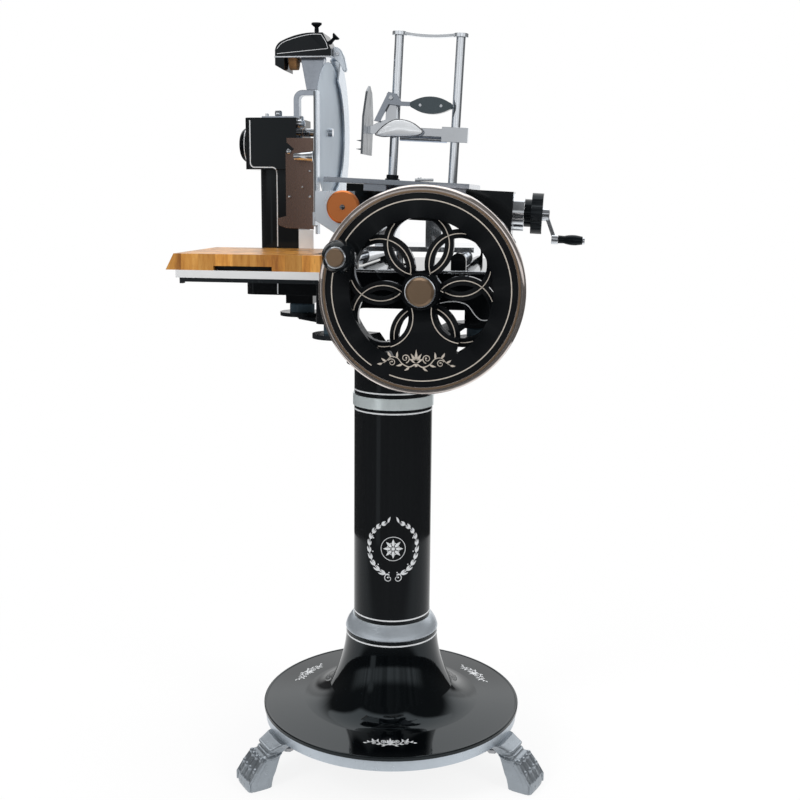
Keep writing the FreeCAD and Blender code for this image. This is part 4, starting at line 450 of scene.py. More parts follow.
def finish_piece(name, mesh, body, slot, material=None, sharp=38):
    """Makes a piece that rides on a body, in its slot's material or one of its own."""
    bmesh.ops.remove_doubles(mesh, verts=mesh.verts, dist=0.000002)
    bmesh.ops.recalc_face_normals(mesh, faces=mesh.faces)
    data = bpy.data.meshes.new(name)
    mesh.to_mesh(data)
    mesh.free()
    data.materials.append(material or MATERIALS[slot])
    data.shade_smooth()
    data.set_sharp_from_angle(angle=math.radians(sharp))
    made = bpy.data.objects.new(name, data)
    bpy.context.scene.collection.objects.link(made)
    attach(made, body)
    return made


# ---------------------------------------------------------------- surfaces that carry lines and ornaments
WHEEL_X, WHEEL_Z = 92, 979
HOUSING_FACE, NECK_FACE, BASE_FACE, COVER_FACE = -6, 6, -205, 21
RIM_FACE, PETAL_FACE = -319, -307.5


def on_plane(y):
    """Places flat points (x, z) on a plane that faces the viewer."""
    return lambda point: (Vector((point[0], y, point[1])), Vector((0, -1, 0)))


def on_wheel(y):
    """Places flat points about the wheel's axis on one of its faces."""
    return lambda point: (Vector((WHEEL_X + point[0], y, WHEEL_Z + point[1])), Vector((0, -1, 0)))


COLUMN_RADIUS = 77


def on_column(facing, height):
    """Wraps flat points round the column, centred on a direction and a height."""
    def spot(point):
        angle = math.radians(facing) + point[0] / COLUMN_RADIUS
        normal = Vector((math.cos(angle), math.sin(angle), 0))
        return normal * COLUMN_RADIUS + Vector((0, 0, height + point[1])), normal
    return spot


DISC_RADIUS, DISC_EDGE_Z, DISC_SLOPE = 261, 114.0, 5 / 83


def on_disc(facing, distance):
    """Lays flat points on the foot disc, centred on a direction, upright towards the column."""
    def spot(point):
        radius = distance - point[1]
        angle = math.radians(facing) + point[0] / distance
        outward = Vector((math.cos(angle), math.sin(angle), 0))
        height = DISC_EDGE_Z + (DISC_RADIUS - radius) * DISC_SLOPE
        return outward * radius + Vector((0, 0, height)), outward * DISC_SLOPE + Vector((0, 0, 1))
    return spot


def draw(mesh, flat, surface, widths, lift=0.35):
    """A line through flat points, laid on a surface."""
    placed = [surface(point) for point in flat]
    stroke(mesh, [point for point, _ in placed], [normal for _, normal in placed], widths, lift)


def polar(centre, radius, degrees):
    angle = math.radians(degrees)
    return centre[0] + radius * math.cos(angle), centre[1] + radius * math.sin(angle)


LEAF_STEPS, CURL_STEPS = 8, 34


def leaf(mesh, surface, root, angle, length, width, bend=0.0):
    """An almond-shaped leaf from its root, its midline bending to one side."""
    flat, widths = [], []
    for step in range(LEAF_STEPS + 1):
        t = step / LEAF_STEPS
        flat.append(polar(root, length * t, angle + bend * t))
        widths.append(width * math.sin(math.pi * t ** 0.75) + 0.2)
    draw(mesh, flat, surface, widths, 0.45)


def curl(mesh, surface, centre, start_radius, end_radius, start, end, width):
    """A spiral whose line thins towards its inner end."""
    flat, widths = [], []
    for step in range(CURL_STEPS + 1):
        t = step / CURL_STEPS
        flat.append(polar(centre, start_radius + (end_radius - start_radius) * t, start + (end - start) * t))
        widths.append(width * (1 - 0.55 * t))
    draw(mesh, flat, surface, widths)
    dot(mesh, *surface(flat[-1]), width * 0.75)


# ---------------------------------------------------------------- painted lines and generic ornament
COLUMN_LINES, COLUMN_LINE_WIDTH = (761.4, 722.8, 307.0), 2.8
BELL_LINE_RADIUS, BELL_LINE_Z, BELL_LINE_SLOPE = 92.4, 260.0, 0.08


def turned_line(mesh, radius, z, width, slope=0.0):
    """A painted ring round the pedestal; slope is how much the radius grows downwards per millimetre."""
    inner, outer, grow = radius - 0.5, radius + 0.3, slope * width / 2
    top, foot = z + width / 2, z - width / 2
    lathe(mesh, [(inner, top), (outer - grow, top), (outer + grow, foot), (inner, foot)], (0, 0, 0), "z", 128)


def pedestal_lines():
    mesh = bmesh.new()
    for z in COLUMN_LINES:
        turned_line(mesh, COLUMN_RADIUS, z, COLUMN_LINE_WIDTH)
    turned_line(mesh, BELL_LINE_RADIUS, BELL_LINE_Z, COLUMN_LINE_WIDTH, BELL_LINE_SLOPE)
    finish_piece("pedestal_lines", mesh, "stand", "silver_paint", LINE_WHITE)


RIM_LINE_RADIUS, RIM_LINE_START, RIM_LINE_END, RIM_LINE_WIDTH = 148.5, -110, 237, 2.1
PETAL_COUNT, PETAL_CIRCLE, PETAL_TURN, PETAL_OUTER, OPENING = 6, 76.5, 4.5, 58.5, 119


HUB_CLEAR, PETAL_LINE_WIDTH = 31, 1.7


def petal_centres():
    first, spacing = -90 + PETAL_TURN, 360 / PETAL_COUNT
    return [polar((0, 0), PETAL_CIRCLE, first + spacing * number) for number in range(PETAL_COUNT)]


PETAL_INNER, PETAL_LINE, APRON_HALF = 43.5, 51, 52


def wheel_face_at(point, centres):
    """The face of the wheel under a flat point: the filled bottom is level with the rim, the petals lie deeper."""
    spot = Vector(point)
    in_window = any((spot - Vector(centre)).length < PETAL_INNER for centre in centres[1:])
    down = Vector(centres[0]).normalized()
    across = abs(spot.x * down.y - spot.y * down.x)
    filled = (spot - Vector(centres[0])).length < PETAL_OUTER or (spot.dot(down) > 0 and across < APRON_HALF)
    return RIM_FACE if filled and not in_window else PETAL_FACE


def wheel_lines():
    """The line round the rim, open where the flourish lies, and one line along each petal."""
    mesh = bmesh.new()
    rim_line = arc((0, 0), RIM_LINE_RADIUS, RIM_LINE_START, RIM_LINE_END, 220)
    draw(mesh, rim_line, on_wheel(RIM_FACE), RIM_LINE_WIDTH)
    centres = petal_centres()
    for number, centre in enumerate(centres):
        runs = [[]]
        for point in arc(centre, PETAL_LINE, 0, 360, 180):
            face = wheel_face_at(point, centres)
            shown = HUB_CLEAR < Vector(point).length < OPENING - 0.5 and (number or face == PETAL_FACE)
            if runs[-1] and (not shown or runs[-1][-1][1] != face):
                runs.append([])
            if shown:
                runs[-1].append((point, face))
        for run in runs:
            if len(run) > 2:
                draw(mesh, [point for point, _ in run], on_wheel(run[0][1]), PETAL_LINE_WIDTH)
    finish_piece("wheel_lines", mesh, "flywheel", "silver_paint", LINE_WARM)


def housing_lines():
    """Coach lines on the housing's front, down the neck, along the wing and on the base's front."""
    mesh = bmesh.new()
    bend = arc((-273, 1192), 8, 180, 270, 8)
    turn_down = arc((-238.5, 1174.5), 9.5, 84, 36, 5)
    housing = [(-281, 1272), (-281, 1230)] + bend + [(-258, 1184), (-239, 1184)] + turn_down
    neck = [(-232.9, 1179.6), (-232, 1172), (-231.7, 1120), (-232, 1060), (-232, 1033)]
    wing = [(-233, 986), (-233, 962), (-233, 940)]
    sweep = [(111.5, 949.5), (128, 952.6), (143.5, 952.3), (160, 946.8), (173, 930.5), (183.6, 922), (196, 922)]
    draw(mesh, housing, on_plane(HOUSING_FACE), 2.4)
    for line in (neck, wing):
        draw(mesh, line, on_plane(NECK_FACE), 2.2)
    draw(mesh, smooth_path(sweep, 6), on_plane(BASE_FACE), 2.0)
    finish_piece("housing_lines", mesh, "stand", "silver_paint", LINE_WHITE)


WREATH_HALF_WIDTH, WREATH_HALF_HEIGHT, STEM_STEPS = 50, 54, 32
ROSETTE_PETALS, ROSETTE_RING = 8, 24


def wreath(surface):
    """Two leafy branches that meet round a rosette, drawn with a brush's thick and thin."""
    mesh = bmesh.new()
    for side in (-1, 1):
        stem, widths = [], []
        for step in range(STEM_STEPS + 1):
            angle = math.radians(-82 + 160 * step / STEM_STEPS)
            stem.append((side * WREATH_HALF_WIDTH * math.cos(angle), WREATH_HALF_HEIGHT * math.sin(angle)))
            widths.append(2.2 - 1.2 * step / STEM_STEPS)
        draw(mesh, stem, surface, widths)
        for number in range(2, STEM_STEPS - 1, 3):
            x, y = stem[number]
            after = stem[number + 1]
            heading = math.degrees(math.atan2(after[1] - y, after[0] - x))
            size = 15 - number * 0.14
            leaf(mesh, surface, (x, y), heading - side * 38, size, 4.6, side * 22)
            leaf(mesh, surface, (x, y), heading + side * 40, size * 0.85, 4.0, -side * 22)
            if number % 2 == 0:
                dot(mesh, *surface((x - side * 7.5, y + 3)), 1.3)
        leaf(mesh, surface, stem[-1], 90 + side * 12, 13, 4.4, side * 10)
        curl(mesh, surface, (side * 9, -WREATH_HALF_HEIGHT - 6), 9, 2, 90, 90 - side * 400, 2.0)
    spacing = 360 / ROSETTE_PETALS
    for petal in range(ROSETTE_PETALS):
        leaf(mesh, surface, polar((0, 0), 4.5, spacing * petal), spacing * petal, 15, 6.4)
        dot(mesh, *surface(polar((0, 0), 12, spacing * (petal + 0.5))), 1.0)
    dot(mesh, *surface((0, 0)), 3.4, 0.7)
    draw(mesh, arc((0, 0), ROSETTE_RING, 0, 360, 64), surface, 1.3)
    finish_piece("column_wreath", mesh, "stand", "silver_paint", LINE_WHITE)


FLOURISH_LEAVES = ((12, -14, -55, 11), (24, -9, -35, 12), (33, 1, 75, 12), (44, 3, 40, 11), (53, -5, 15, 10),
                   (60, -9, -25, 9))
PALMETTE = ((90, 24), (66, 19), (114, 19), (42, 14), (138, 14))


def flourish(name, surface, body, scale, material):
    """A palmette between two scrolling stems with leaves, the same on both sides."""
    mesh = bmesh.new()

    def sized(point):
        return surface((point[0] * scale, point[1] * scale))

    line = 1.9 / scale ** 0.5
    for side in (-1, 1):
        stem = smooth_path([(side * 2, -9)] + [(side * x, y) for x, y, _, _ in FLOURISH_LEAVES], 7)
        draw(mesh, stem, sized, [line * (1.25 - 0.9 * number / len(stem)) for number in range(len(stem))])
        curl(mesh, sized, (side * 19, 1), 8, 2, 90 + side * 170, 90 - side * 300, line)
        curl(mesh, sized, (side * 43, -7), 7, 1.8, 90 - side * 60, 90 + side * 380, line * 0.9)
        for x, y, angle, size in FLOURISH_LEAVES:
            leaf(mesh, sized, (side * x, y), angle if side > 0 else 180 - angle, size, 3.8, side * 18)
    for angle, size in PALMETTE:
        leaf(mesh, sized, (0, -7), angle, size, 5.2, (90 - angle) * -0.25)
    dot(mesh, *sized((0, -11)), 2.6)
    finish_piece(name, mesh, body, "silver_paint", material)


# ---------------------------------------------------------------- lion paws
PAW_COUNT, PAW_TURN, PAW_REACH, PAW_TOP = 3, -21.7, 334, 86
TOE_COUNT, TOE_SPACING, TOE_FORE = 4, 16.6, 2.5
TOE_PATH = ((323, 1, 8.6), (323, 1, 20), (313, 0.98, 39), (300, 0.92, 54), (288, 0.85, 57))
TOE_RADII = (8.0, 8.2, 8.0, 7.6, 5.5)
KNUCKLES = ((328.3, 1, 21, 4.4), (318.5, 1, 41, 4.8), (304, 0.92, 58.5, 5.2))
CLAW_PATH, CLAW_RADII = ((326, 14), (330.5, 9), (331, 3)), (4.0, 3.0, 1.4)
SIDE_EDGE = ((329, 31, 3), (329, 31.2, 19), (316, 29.6, 39), (302, 27.4, 57))
SIDE_TUFT = ((296, 25.5, 61), (282, 27.5, 58), (266, 27.5, 61), (258, 26, 64))
CUFF_RIDGES = ((10, 2.3), (8, 2.1))
CORNER_POWER, OUTLINE_SIDES = 0.32, 48
# level slices of one paw from the sole up: height, inner end, outer end and half width
PAW_SLICES = ((0, 279, 330, 31), (8, 278, 331, 31.5), (20, 275, 329, 31.5), (30, 270, 323, 31), (40, 266, 316, 29.5),
              (50, 262, 308, 28), (57, 259, 303, 27), (62, 255, 297, 25), (66, 250, 288, 25), (71, 244, 285, 26),
              (75, 238, 284, 28), (78, 232, 282, 31), (81, 226, 275, 33), (PAW_TOP, 218, 264, 37))


def paw_outline(height, inner, outer, half, grow=0.0):
    """The points round one slice, a rectangle with softly rounded corners."""
    middle, reach = (inner + outer) / 2, (outer - inner) / 2 + grow
    half += grow
    points = []
    for step in range(OUTLINE_SIDES):
        angle = 2 * math.pi * step / OUTLINE_SIDES
        c, s = math.cos(angle), math.sin(angle)
        across = math.copysign(abs(s) ** CORNER_POWER, s) * half
        along = math.copysign(abs(c) ** CORNER_POWER, c) * reach
        points.append(Vector((middle + along, across, height)))
    return points


def loft(mesh, outlines):
    """A closed skin through outlines that have the same number of points."""
    rings = [[mesh.verts.new(point * MM) for point in outline] for outline in outlines]
    for here, there in zip(rings, rings[1:]):
        for step in range(len(here)):
            after = (step + 1) % len(here)
            mesh.faces.new((here[step], here[after], there[after], there[step]))
    mesh.faces.new(list(reversed(rings[0])))
    mesh.faces.new(rings[-1])


def ball(mesh, centre, radius):
    for vert in bmesh.ops.create_icosphere(mesh, subdivisions=3, radius=radius * MM)["verts"]:
        vert.co += Vector(centre) * MM


def one_paw():
    """A paw along +X: flared seat, two cuff ridges, four knuckled toes with claws over a square heel."""
    mesh = bmesh.new()
    loft(mesh, [paw_outline(*level) for level in PAW_SLICES])
    for number in range(TOE_COUNT):
        from_middle = number - (TOE_COUNT - 1) / 2
        lateral, short = from_middle * TOE_SPACING, TOE_FORE * abs(from_middle)
        toe = [(out - short, lateral * share, up) for out, share, up in TOE_PATH[:-1]]
        out, share, up = TOE_PATH[-1]
        tube(mesh, toe + [(out, lateral * share, up)], TOE_RADII, 20)
        for out, share, up, radius in KNUCKLES:
            ball(mesh, (out - short, lateral * share, up), radius)
        tube(mesh, [(out - short, lateral, up) for out, up in CLAW_PATH], CLAW_RADII, 12)
    for side in (-1, 1):
        tube(mesh, [(out, side * wide, up) for out, wide, up in SIDE_EDGE], 1.9, 10)
        tube(mesh, [(out, side * wide, up) for out, wide, up in SIDE_TUFT], (0.9, 2.3, 2.3, 0.9), 10)
    quarter = OUTLINE_SIDES // 4
    for level, thick in CUFF_RIDGES:
        ridge = paw_outline(*PAW_SLICES[level], grow=0.6)
        tube(mesh, ridge[-quarter:] + ridge[:quarter + 1], thick, 10)
    bmesh.ops.recalc_face_normals(mesh, faces=mesh.faces)
    data = bpy.data.meshes.new("paw_source")
    mesh.to_mesh(data)
    mesh.free()
    return data


def lion_paws():
    """Three paws, their parts melted into one skin, soles flat on the floor."""
    source = bpy.data.objects.new("paw_source", one_paw())
    bpy.context.scene.collection.objects.link(source)
    melt = source.modifiers.new("melt", "REMESH")
    melt.mode = "VOXEL"
    melt.voxel_size = 1.1 * MM
    soften = source.modifiers.new("soften", "SMOOTH")
    soften.factor = 0.5
    soften.iterations = 2
    fewer = source.modifiers.new("fewer", "DECIMATE")
    fewer.ratio = 0.4
    graph = bpy.context.evaluated_depsgraph_get()
    melted = bpy.data.meshes.new_from_object(source.evaluated_get(graph))
    bpy.data.objects.remove(source)
    mesh = bmesh.new()
    for number in range(PAW_COUNT):
        start = len(mesh.verts)
        mesh.from_mesh(melted)
        mesh.verts.ensure_lookup_table()
        turn = Matrix.Rotation(math.radians(PAW_TURN + 360 / PAW_COUNT * number), 3, "Z")
        for vert in mesh.verts[start:]:
            spot = vert.co
            spot.x = min(spot.x, PAW_REACH * MM)
            spot.z = min(max(spot.z, 0), PAW_TOP * MM)
            vert.co = turn @ spot
    paws = finish_piece("lion_paws", mesh, "stand", "cast_silver", sharp=60)
    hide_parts("paw_feet")


# ---------------------------------------------------------------- small fittings
def screw_head(mesh, centre, radius, height):
    """A cheese head that faces the viewer, with a rounded rim and a shallow recess."""
    recess, floor = radius * 0.3, height * 0.82
    lathe(mesh, [(CORE, 0), (radius, 0), (radius, height * 0.7), (radius * 0.86, height), (recess, height),
                 (recess, floor), (CORE, floor)], centre, "front", 32)


SHAFT_Y, HOUSING_TOP, STRAP_SCREW_Y = 55, 1283, 12
OIL_CAP = [(CORE, 0), (6.6, 0), (7.2, 1.5), (7.2, 9), (6.2, 11), (3.0, 11), (3.0, 9.6), (CORE, 9.6)]
SMALL_CAP = [(CORE, 0), (3.2, 0), (3.2, 5), (2.4, 6), (CORE, 6)]
DOMED_NUT = [(CORE, 0), (9.5, 0), (9.5, 5), (8, 10), (5, 13), (CORE, 13.6)]
PLAIN_SCREW = [(CORE, 0), (4, 0), (4, 5), (3, 6.5), (CORE, 6.5)]


def housing_fittings():
    """Cap screws of the strap, the oil cap on the housing's corner."""
    mesh = bmesh.new()
    lathe(mesh, OIL_CAP, (-240, SHAFT_Y, HOUSING_TOP), "z", 36)
    lathe(mesh, SMALL_CAP, (-263, SHAFT_Y, HOUSING_TOP), "z", 24)
    lathe(mesh, DOMED_NUT, (-190.5, STRAP_SCREW_Y, 1266), "x", 40)
    lathe(mesh, PLAIN_SCREW, (-184, STRAP_SCREW_Y, 1274), "z", 24)
    finish_piece("housing_fittings", mesh, "stand", "chrome")


def sharpener_trim():
    """Chrome moulding round the cover's foot and a white line round its front face, partly a pinstripe and partly
    painted highlight along the face's edges.
    """
    mesh = bmesh.new()
    block(mesh, (-238, 20, 1389.6), (-127, 90, 1392.6), 0.8)
    finish_piece("sharpener_moulding", mesh, "stand", "chrome")
    mesh = bmesh.new()
    # partly pinstripe, partly painted highlight: the runs follow the face's lower, right and top edges, and the top
    # run stands for the edge's highlight
    low = [(-233, 1397), (-205, 1399.5), (-170, 1402.5), (-134, 1405.5)]
    high = [(-134, 1405.5), (-138, 1418), (-147, 1431.5)]
    top = [(-147, 1431.5), (-168, 1431.5), (-196, 1426), (-222, 1417), (-233, 1406)]
    for run in (low, high, top):
        draw(mesh, smooth_path(run, 6), on_plane(COVER_FACE), 1.1)
    finish_piece("sharpener_line_and_highlight", mesh, "stand", "silver_paint", LINE_WHITE)


LUG_OUTLINE = ((-129, 1411), (-121, 1411), (-113, 1406), (-106, 1392), (-101, 1368), (-105, 1363.5), (-110, 1368),
               (-113, 1380), (-120, 1387), (-129, 1390))
LUG_FRONT, LUG_BACK, LUG_ROUNDING = 40, 52, 1.5


def guard_lug():
    """The curved lug beside the sharpener that steadies the guard, with its screw; its pale look is painted sheen.
    """
    mesh = bmesh.new()
    front = [mesh.verts.new(Vector((x, LUG_FRONT, z)) * MM) for x, z in LUG_OUTLINE]
    back = [mesh.verts.new(Vector((x, LUG_BACK, z)) * MM) for x, z in LUG_OUTLINE]
    mesh.faces.new(front)
    mesh.faces.new(list(reversed(back)))
    for number in range(len(front)):
        after = (number + 1) % len(front)
        mesh.faces.new((front[after], front[number], back[number], back[after]))
    bmesh.ops.bevel(mesh, geom=list(mesh.edges), offset=LUG_ROUNDING * MM, segments=3, affect="EDGES")
    finish_piece("guard_lug", mesh, "stand", "chrome", SHEEN_CHROME)
    mesh = bmesh.new()
    screw_head(mesh, (-119, 40.4, 1398), 3.6, 2.4)
    screw_head(mesh, (-139, 26.2, 1246), 3.4, 2.6)
    finish_piece("guard_screws", mesh, "stand", "chrome")


SLEEVE_Y, SLEEVE_Z, DEFLECTOR_FACE = -76, 1202, -68
SLEEVE = [(CORE, 0), (5.6, 0), (6.6, 1.2), (9.4, 30), (9.4, 34), (CORE, 34)]
SLEEVE_SEAT = [(CORE, 0), (10.4, 0), (10.4, 3.5), (CORE, 3.5)]
RIVETS = ((-190, 1211.5, 4.4), (-189, 1129, 2.6), (-149.5, 1129, 3.0), (-164, 1146.6, 2.2), (-149.5, 1176, 2.6))


def deflector_fittings():
    """The tapered clamp sleeve, its seat, and the rivets of the slice deflector."""
    mesh = bmesh.new()
    lathe(mesh, SLEEVE, (-178, SLEEVE_Y, SLEEVE_Z), "x", 40)
    lathe(mesh, SLEEVE_SEAT, (-144.5, SLEEVE_Y, SLEEVE_Z), "x", 40)
    block(mesh, (-172, -74, 1197), (-146, -66, 1207), 1.2)
    for x, z, radius in RIVETS:
        rivet = [(CORE, -2), (radius, -2), (radius, 0.8), (radius * 0.7, 1.9), (CORE, 2.3)]
        lathe(mesh, rivet, (x, DEFLECTOR_FACE, z), "front", 28)
    finish_piece("deflector_fittings", mesh, "deflector", "chrome")


DIAL_X, DIAL_FACE, DIAL_Z = -66, -180.4, 1112
SLOT_LENGTH, SLOT_WIDTH = 3.8, 0.6


def dial_screw():
    """The screw in the middle of the copper dial, with a black cross laid on its head as painted shade for its
    slots.
    """
    mesh = bmesh.new()
    head = [(CORE, -0.5), (4.6, -0.5), (4.6, 1.2), (3.8, 1.8), (CORE, 1.8)]
    lathe(mesh, head, (DIAL_X, DIAL_FACE, DIAL_Z), "front", 32)
    finish_piece("dial_screw", mesh, "dial", "steel")
    mesh = bmesh.new()
    # painted shade: a thin black cross on the head stands for the shadow in the slots
    for wide, tall in ((SLOT_LENGTH, SLOT_WIDTH), (SLOT_WIDTH, SLOT_LENGTH)):
        low = DIAL_X - wide, DIAL_FACE - 2.0, DIAL_Z - tall
        block(mesh, low, (DIAL_X + wide, DIAL_FACE - 1.6, DIAL_Z + tall), 0.1)
    finish_piece("dial_slot_shade", mesh, "dial", "black_resin")


KNOB_X, KNOB_Z, KNOB_NOSE, BOLT_FACE = -39, 1034.6, -373.0, -378.8
NOSE_RING = [(13.3, -1.5), (17.2, -1.5), (17.2, 0.3), (15.6, 1.5), (13.3, 0.9)]
BOLT_BEAD = [(12.4, -2.6), (13.6, -2.6), (14.0, -1.8), (13.6, -1.0), (12.4, -1.0)]


def knob_fittings():
    """A chrome washer ring on the knob's nose and a turned bead round the bronze bolt's head."""
    mesh = bmesh.new()
    lathe(mesh, NOSE_RING, (KNOB_X, KNOB_NOSE, KNOB_Z), "front", 64)
    finish_piece("knob_ring", mesh, "wheel_knob", "chrome")
    mesh = bmesh.new()
    lathe(mesh, BOLT_BEAD, (KNOB_X, BOLT_FACE, KNOB_Z), "front", 48)
    finish_piece("knob_bolt_bead", mesh, "flywheel", "bronze")


CAP_FACE, BEAD_FACE = -326.4, -321
CAP_EDGE = [(23.6, -1), (25.6, -1), (25.6, 1.4), (23.6, 1.8)]
RIM_BEAD = [(159.4, -1), (163.6, -1), (163.0, 0.7), (160.2, 0.7)]


def hub_fittings():
    """The thin bright edge round the bronze cap and the bead where the rim band meets the casting."""
    mesh = bmesh.new()
    lathe(mesh, CAP_EDGE, (WHEEL_X, CAP_FACE, WHEEL_Z), "front", 96)
    finish_piece("hub_edge", mesh, "flywheel", "chrome")
    mesh = bmesh.new()
    lathe(mesh, RIM_BEAD, (WHEEL_X, BEAD_FACE, WHEEL_Z), "front", 192)
    finish_piece("rim_bead", mesh, "flywheel", "bronze")


def base_strip():
    """The polished strip along the base's front edge."""
    mesh = bmesh.new()
    block(mesh, (-96, -206.4, 1001), (197, -203.5, 1006.2), 1.0)
    finish_piece("base_strip", mesh, "stand", "chrome")


DISC_ROLL = [(254.5, -0.8), (255.6, 0.7), (257.2, 1.5), (259.0, 1.4), (260.3, 0.6), (260.9, -0.8)]


def disc_lip():
    """The rolled edge round the foot disc."""
    mesh = bmesh.new()
    lathe(mesh, DISC_ROLL, (0, 0, DISC_EDGE_Z), "z", 192)
    finish_piece("disc_lip", mesh, "stand", "enamel", BELL_ENAMEL)


END_CAP_X, SHAFT_Z = -301, 1228


def cap_ring():
    """The bright line round the housing's end cap."""
    mesh = bmesh.new()
    lathe(mesh, [(33.2, -0.8), (34.5, -0.8), (34.5, 0.8), (33.2, 0.8)], (END_CAP_X, SHAFT_Y, SHAFT_Z), "x", 96)
    finish_piece("cap_ring", mesh, "stand", "silver_paint", LINE_WHITE)


PRESS_FRONT, SHIELD_CENTRE = 34, (2, 1257)
SHIELD_OUTLINE = ((-44.3, 1247.4), (-34, 1258.5), (-21.8, 1268), (-5.5, 1275), (12.8, 1274.2), (29.2, 1268.3),
                  (41.5, 1259.6), (46.9, 1252.6), (39.6, 1247), (15.2, 1244.5), (-9.4, 1244.6), (-29.9, 1244),
                  (-44.3, 1247.4))
SHIELD_DOME = ((1.0, 0.0), (1.0, 1.4), (0.9, 3.0), (0.7, 4.6), (0.45, 5.8), (0.2, 6.4))


def press_shield():
    """The domed shield on the press arm, with its rolled edge; its near-white look is painted highlight."""
    outline = smooth_path(SHIELD_OUTLINE, 5)[:-1]
    middle_x, middle_z = SHIELD_CENTRE
    outlines = []
    for share, bulge in SHIELD_DOME:
        outlines.append([Vector((middle_x + (x - middle_x) * share, PRESS_FRONT - bulge,
                                 middle_z + (z - middle_z) * share)) for x, z in outline])
    mesh = bmesh.new()
    loft(mesh, outlines)
    finish_piece("press_shield", mesh, "press", "chrome", HIGHLIGHT_CHROME, 60)
    mesh = bmesh.new()
    edge = [(x, PRESS_FRONT - 0.9, z) for x, z in outline]
    tube(mesh, edge + edge[:1], 1.2, 12)
    finish_piece("press_edge", mesh, "press", "steel")


GRIP_MIDDLE_Y, GRIP_RIVETS = 32.2, ((42, 1302), (82, 1300.5))
GRIP_RIVET = [(CORE, -19.4), (2.6, -19.4), (3.2, -18.8), (3.2, -0.6), (2.6, 0), (CORE, 0)]
POST_LEAN, POST_FOOT = 2.5, (-14.6, 60, 1161.5)
COLLAR = [(9.2, 0), (14.5, 0), (14.5, 3), (12, 4), (12, 10), (11, 11), (9.2, 11)]
LATCH_SCREW = [(CORE, -0.5), (3.6, -0.5), (3.6, 1.6), (CORE, 1.6)]


def press_fittings():
    """Rivets of the lever's grip, the collar at the foot of the left post, the latch of the table."""
    mesh = bmesh.new()
    for x, z in GRIP_RIVETS:
        lathe(mesh, GRIP_RIVET, (x, GRIP_MIDDLE_Y, z), "front", 24)
    finish_piece("grip_rivets", mesh, "lever", "chrome")
    mesh = bmesh.new()
    lathe(mesh, COLLAR, POST_FOOT, Matrix.Rotation(math.radians(POST_LEAN), 3, "Y"), 48)
    finish_piece("post_collar", mesh, "table", "black_resin")
    mesh = bmesh.new()
    block(mesh, (52, -105.6, 1158.2), (85, -96, 1163.4), 1.0)
    lathe(mesh, LATCH_SCREW, (60, -100.5, 1163.4), "z", 24)
    finish_piece("table_latch", mesh, "table", "chrome")


def gauge_trim():
    """The folded edge down the front of the gauge plate, darkened as painted dark reflection."""
    mesh = bmesh.new()
    tube(mesh, [(-131.6, -107, z) for z in (1076, 1190, 1316)], 1.7, 12)
    finish_piece("gauge_trim", mesh, "gauge", "steel", DARK_REFLECTION_STEEL)


def board_notch_shade():
    """A black sheet in the finger notch under the board's front edge, painted shade where the notch lies in shadow.
    """
    mesh = bmesh.new()
    # painted shade: a thin black sheet stands for the shadow inside the notch
    block(mesh, (-282.6, -231.6, 1002), (-178.4, -230.2, 1010.2), 0.3)
    finish_piece("board_notch_shade", mesh, "stand", "cast_black")


WREATH_FACING, WREATH_Z = -80, 456
FLOURISH_X, FLOURISH_Z, FLOURISH_SCALE = -6, -112, 0.95
DISC_FACINGS, DISC_DISTANCE, DISC_SCALE = (-81.7, 38.3, 158.3), 205, 0.72


def ornaments():
    """The wreath on the column, the flourish on the wheel and three more on the foot disc."""
    wreath(on_column(WREATH_FACING, WREATH_Z))
    wheel_face = on_wheel(RIM_FACE)
    flourish("wheel_flourish", lambda point: wheel_face((point[0] + FLOURISH_X, point[1] + FLOURISH_Z)), "flywheel",
             FLOURISH_SCALE, LINE_WARM)
    for number, facing in enumerate(DISC_FACINGS):
        flourish(f"disc_flourish_{number + 1}", on_disc(facing, DISC_DISTANCE), "stand", DISC_SCALE, LINE_WHITE)


for maker in (pedestal_lines, wheel_lines, housing_lines, ornaments, lion_paws, housing_fittings, sharpener_trim,
              guard_lug, deflector_fittings, dial_screw, knob_fittings, hub_fittings, base_strip, disc_lip, cap_ring,
              press_shield, press_fittings, gauge_trim, board_notch_shade):
    maker()


# ---------------------------------------------------------------- stage, light and camera
FLOOR_REACH, FLOOR_SIDES, FLOOR_TONE = 1.5, 96, 0.86
FADE_START, FADE_END = 0.45, FLOOR_REACH * 0.92


def floor_material():
    """Pale ground that keeps a soft shadow, fades to white at its edge and mirrors darker in front."""
    material = bpy.data.materials.new("floor")
    material.use_nodes = True
    g = Graph(material.node_tree)
    place = g.node("ShaderNodeTexCoord").outputs["Object"]
    path = g.node("ShaderNodeLightPath").outputs
    away = g.node("ShaderNodeVectorMath", operation="LENGTH")
    g.join(place, away.inputs[0])
    glow = g.eased(away.outputs["Value"], FADE_START, FADE_END, FLOOR_TONE, 1.0)
    mirrored = g.eased(g.split(place)["Y"], -0.75, -0.30, 0.10, 0.85)
    seen = g.math("MAXIMUM", path["Is Camera Ray"], path["Is Glossy Ray"])
    diffuse = g.node("ShaderNodeBsdfDiffuse")
    diffuse.inputs["Color"].default_value = (FLOOR_TONE, FLOOR_TONE, FLOOR_TONE, 1)
    white = g.node("ShaderNodeEmission")
    white.inputs["Color"].default_value = (1, 1, 1, 1)
    g.join(g.mix("FLOAT", path["Is Glossy Ray"], 1.0, mirrored), white.inputs["Strength"])
    mixed = g.node("ShaderNodeMixShader")
    g.join(g.math("MULTIPLY", seen, glow), mixed.inputs[0])
    g.join(diffuse.outputs[0], mixed.inputs[1])
    g.join(white.outputs[0], mixed.inputs[2])
    g.join(mixed.outputs[0], g.node("ShaderNodeOutputMaterial").inputs[0])
    return material


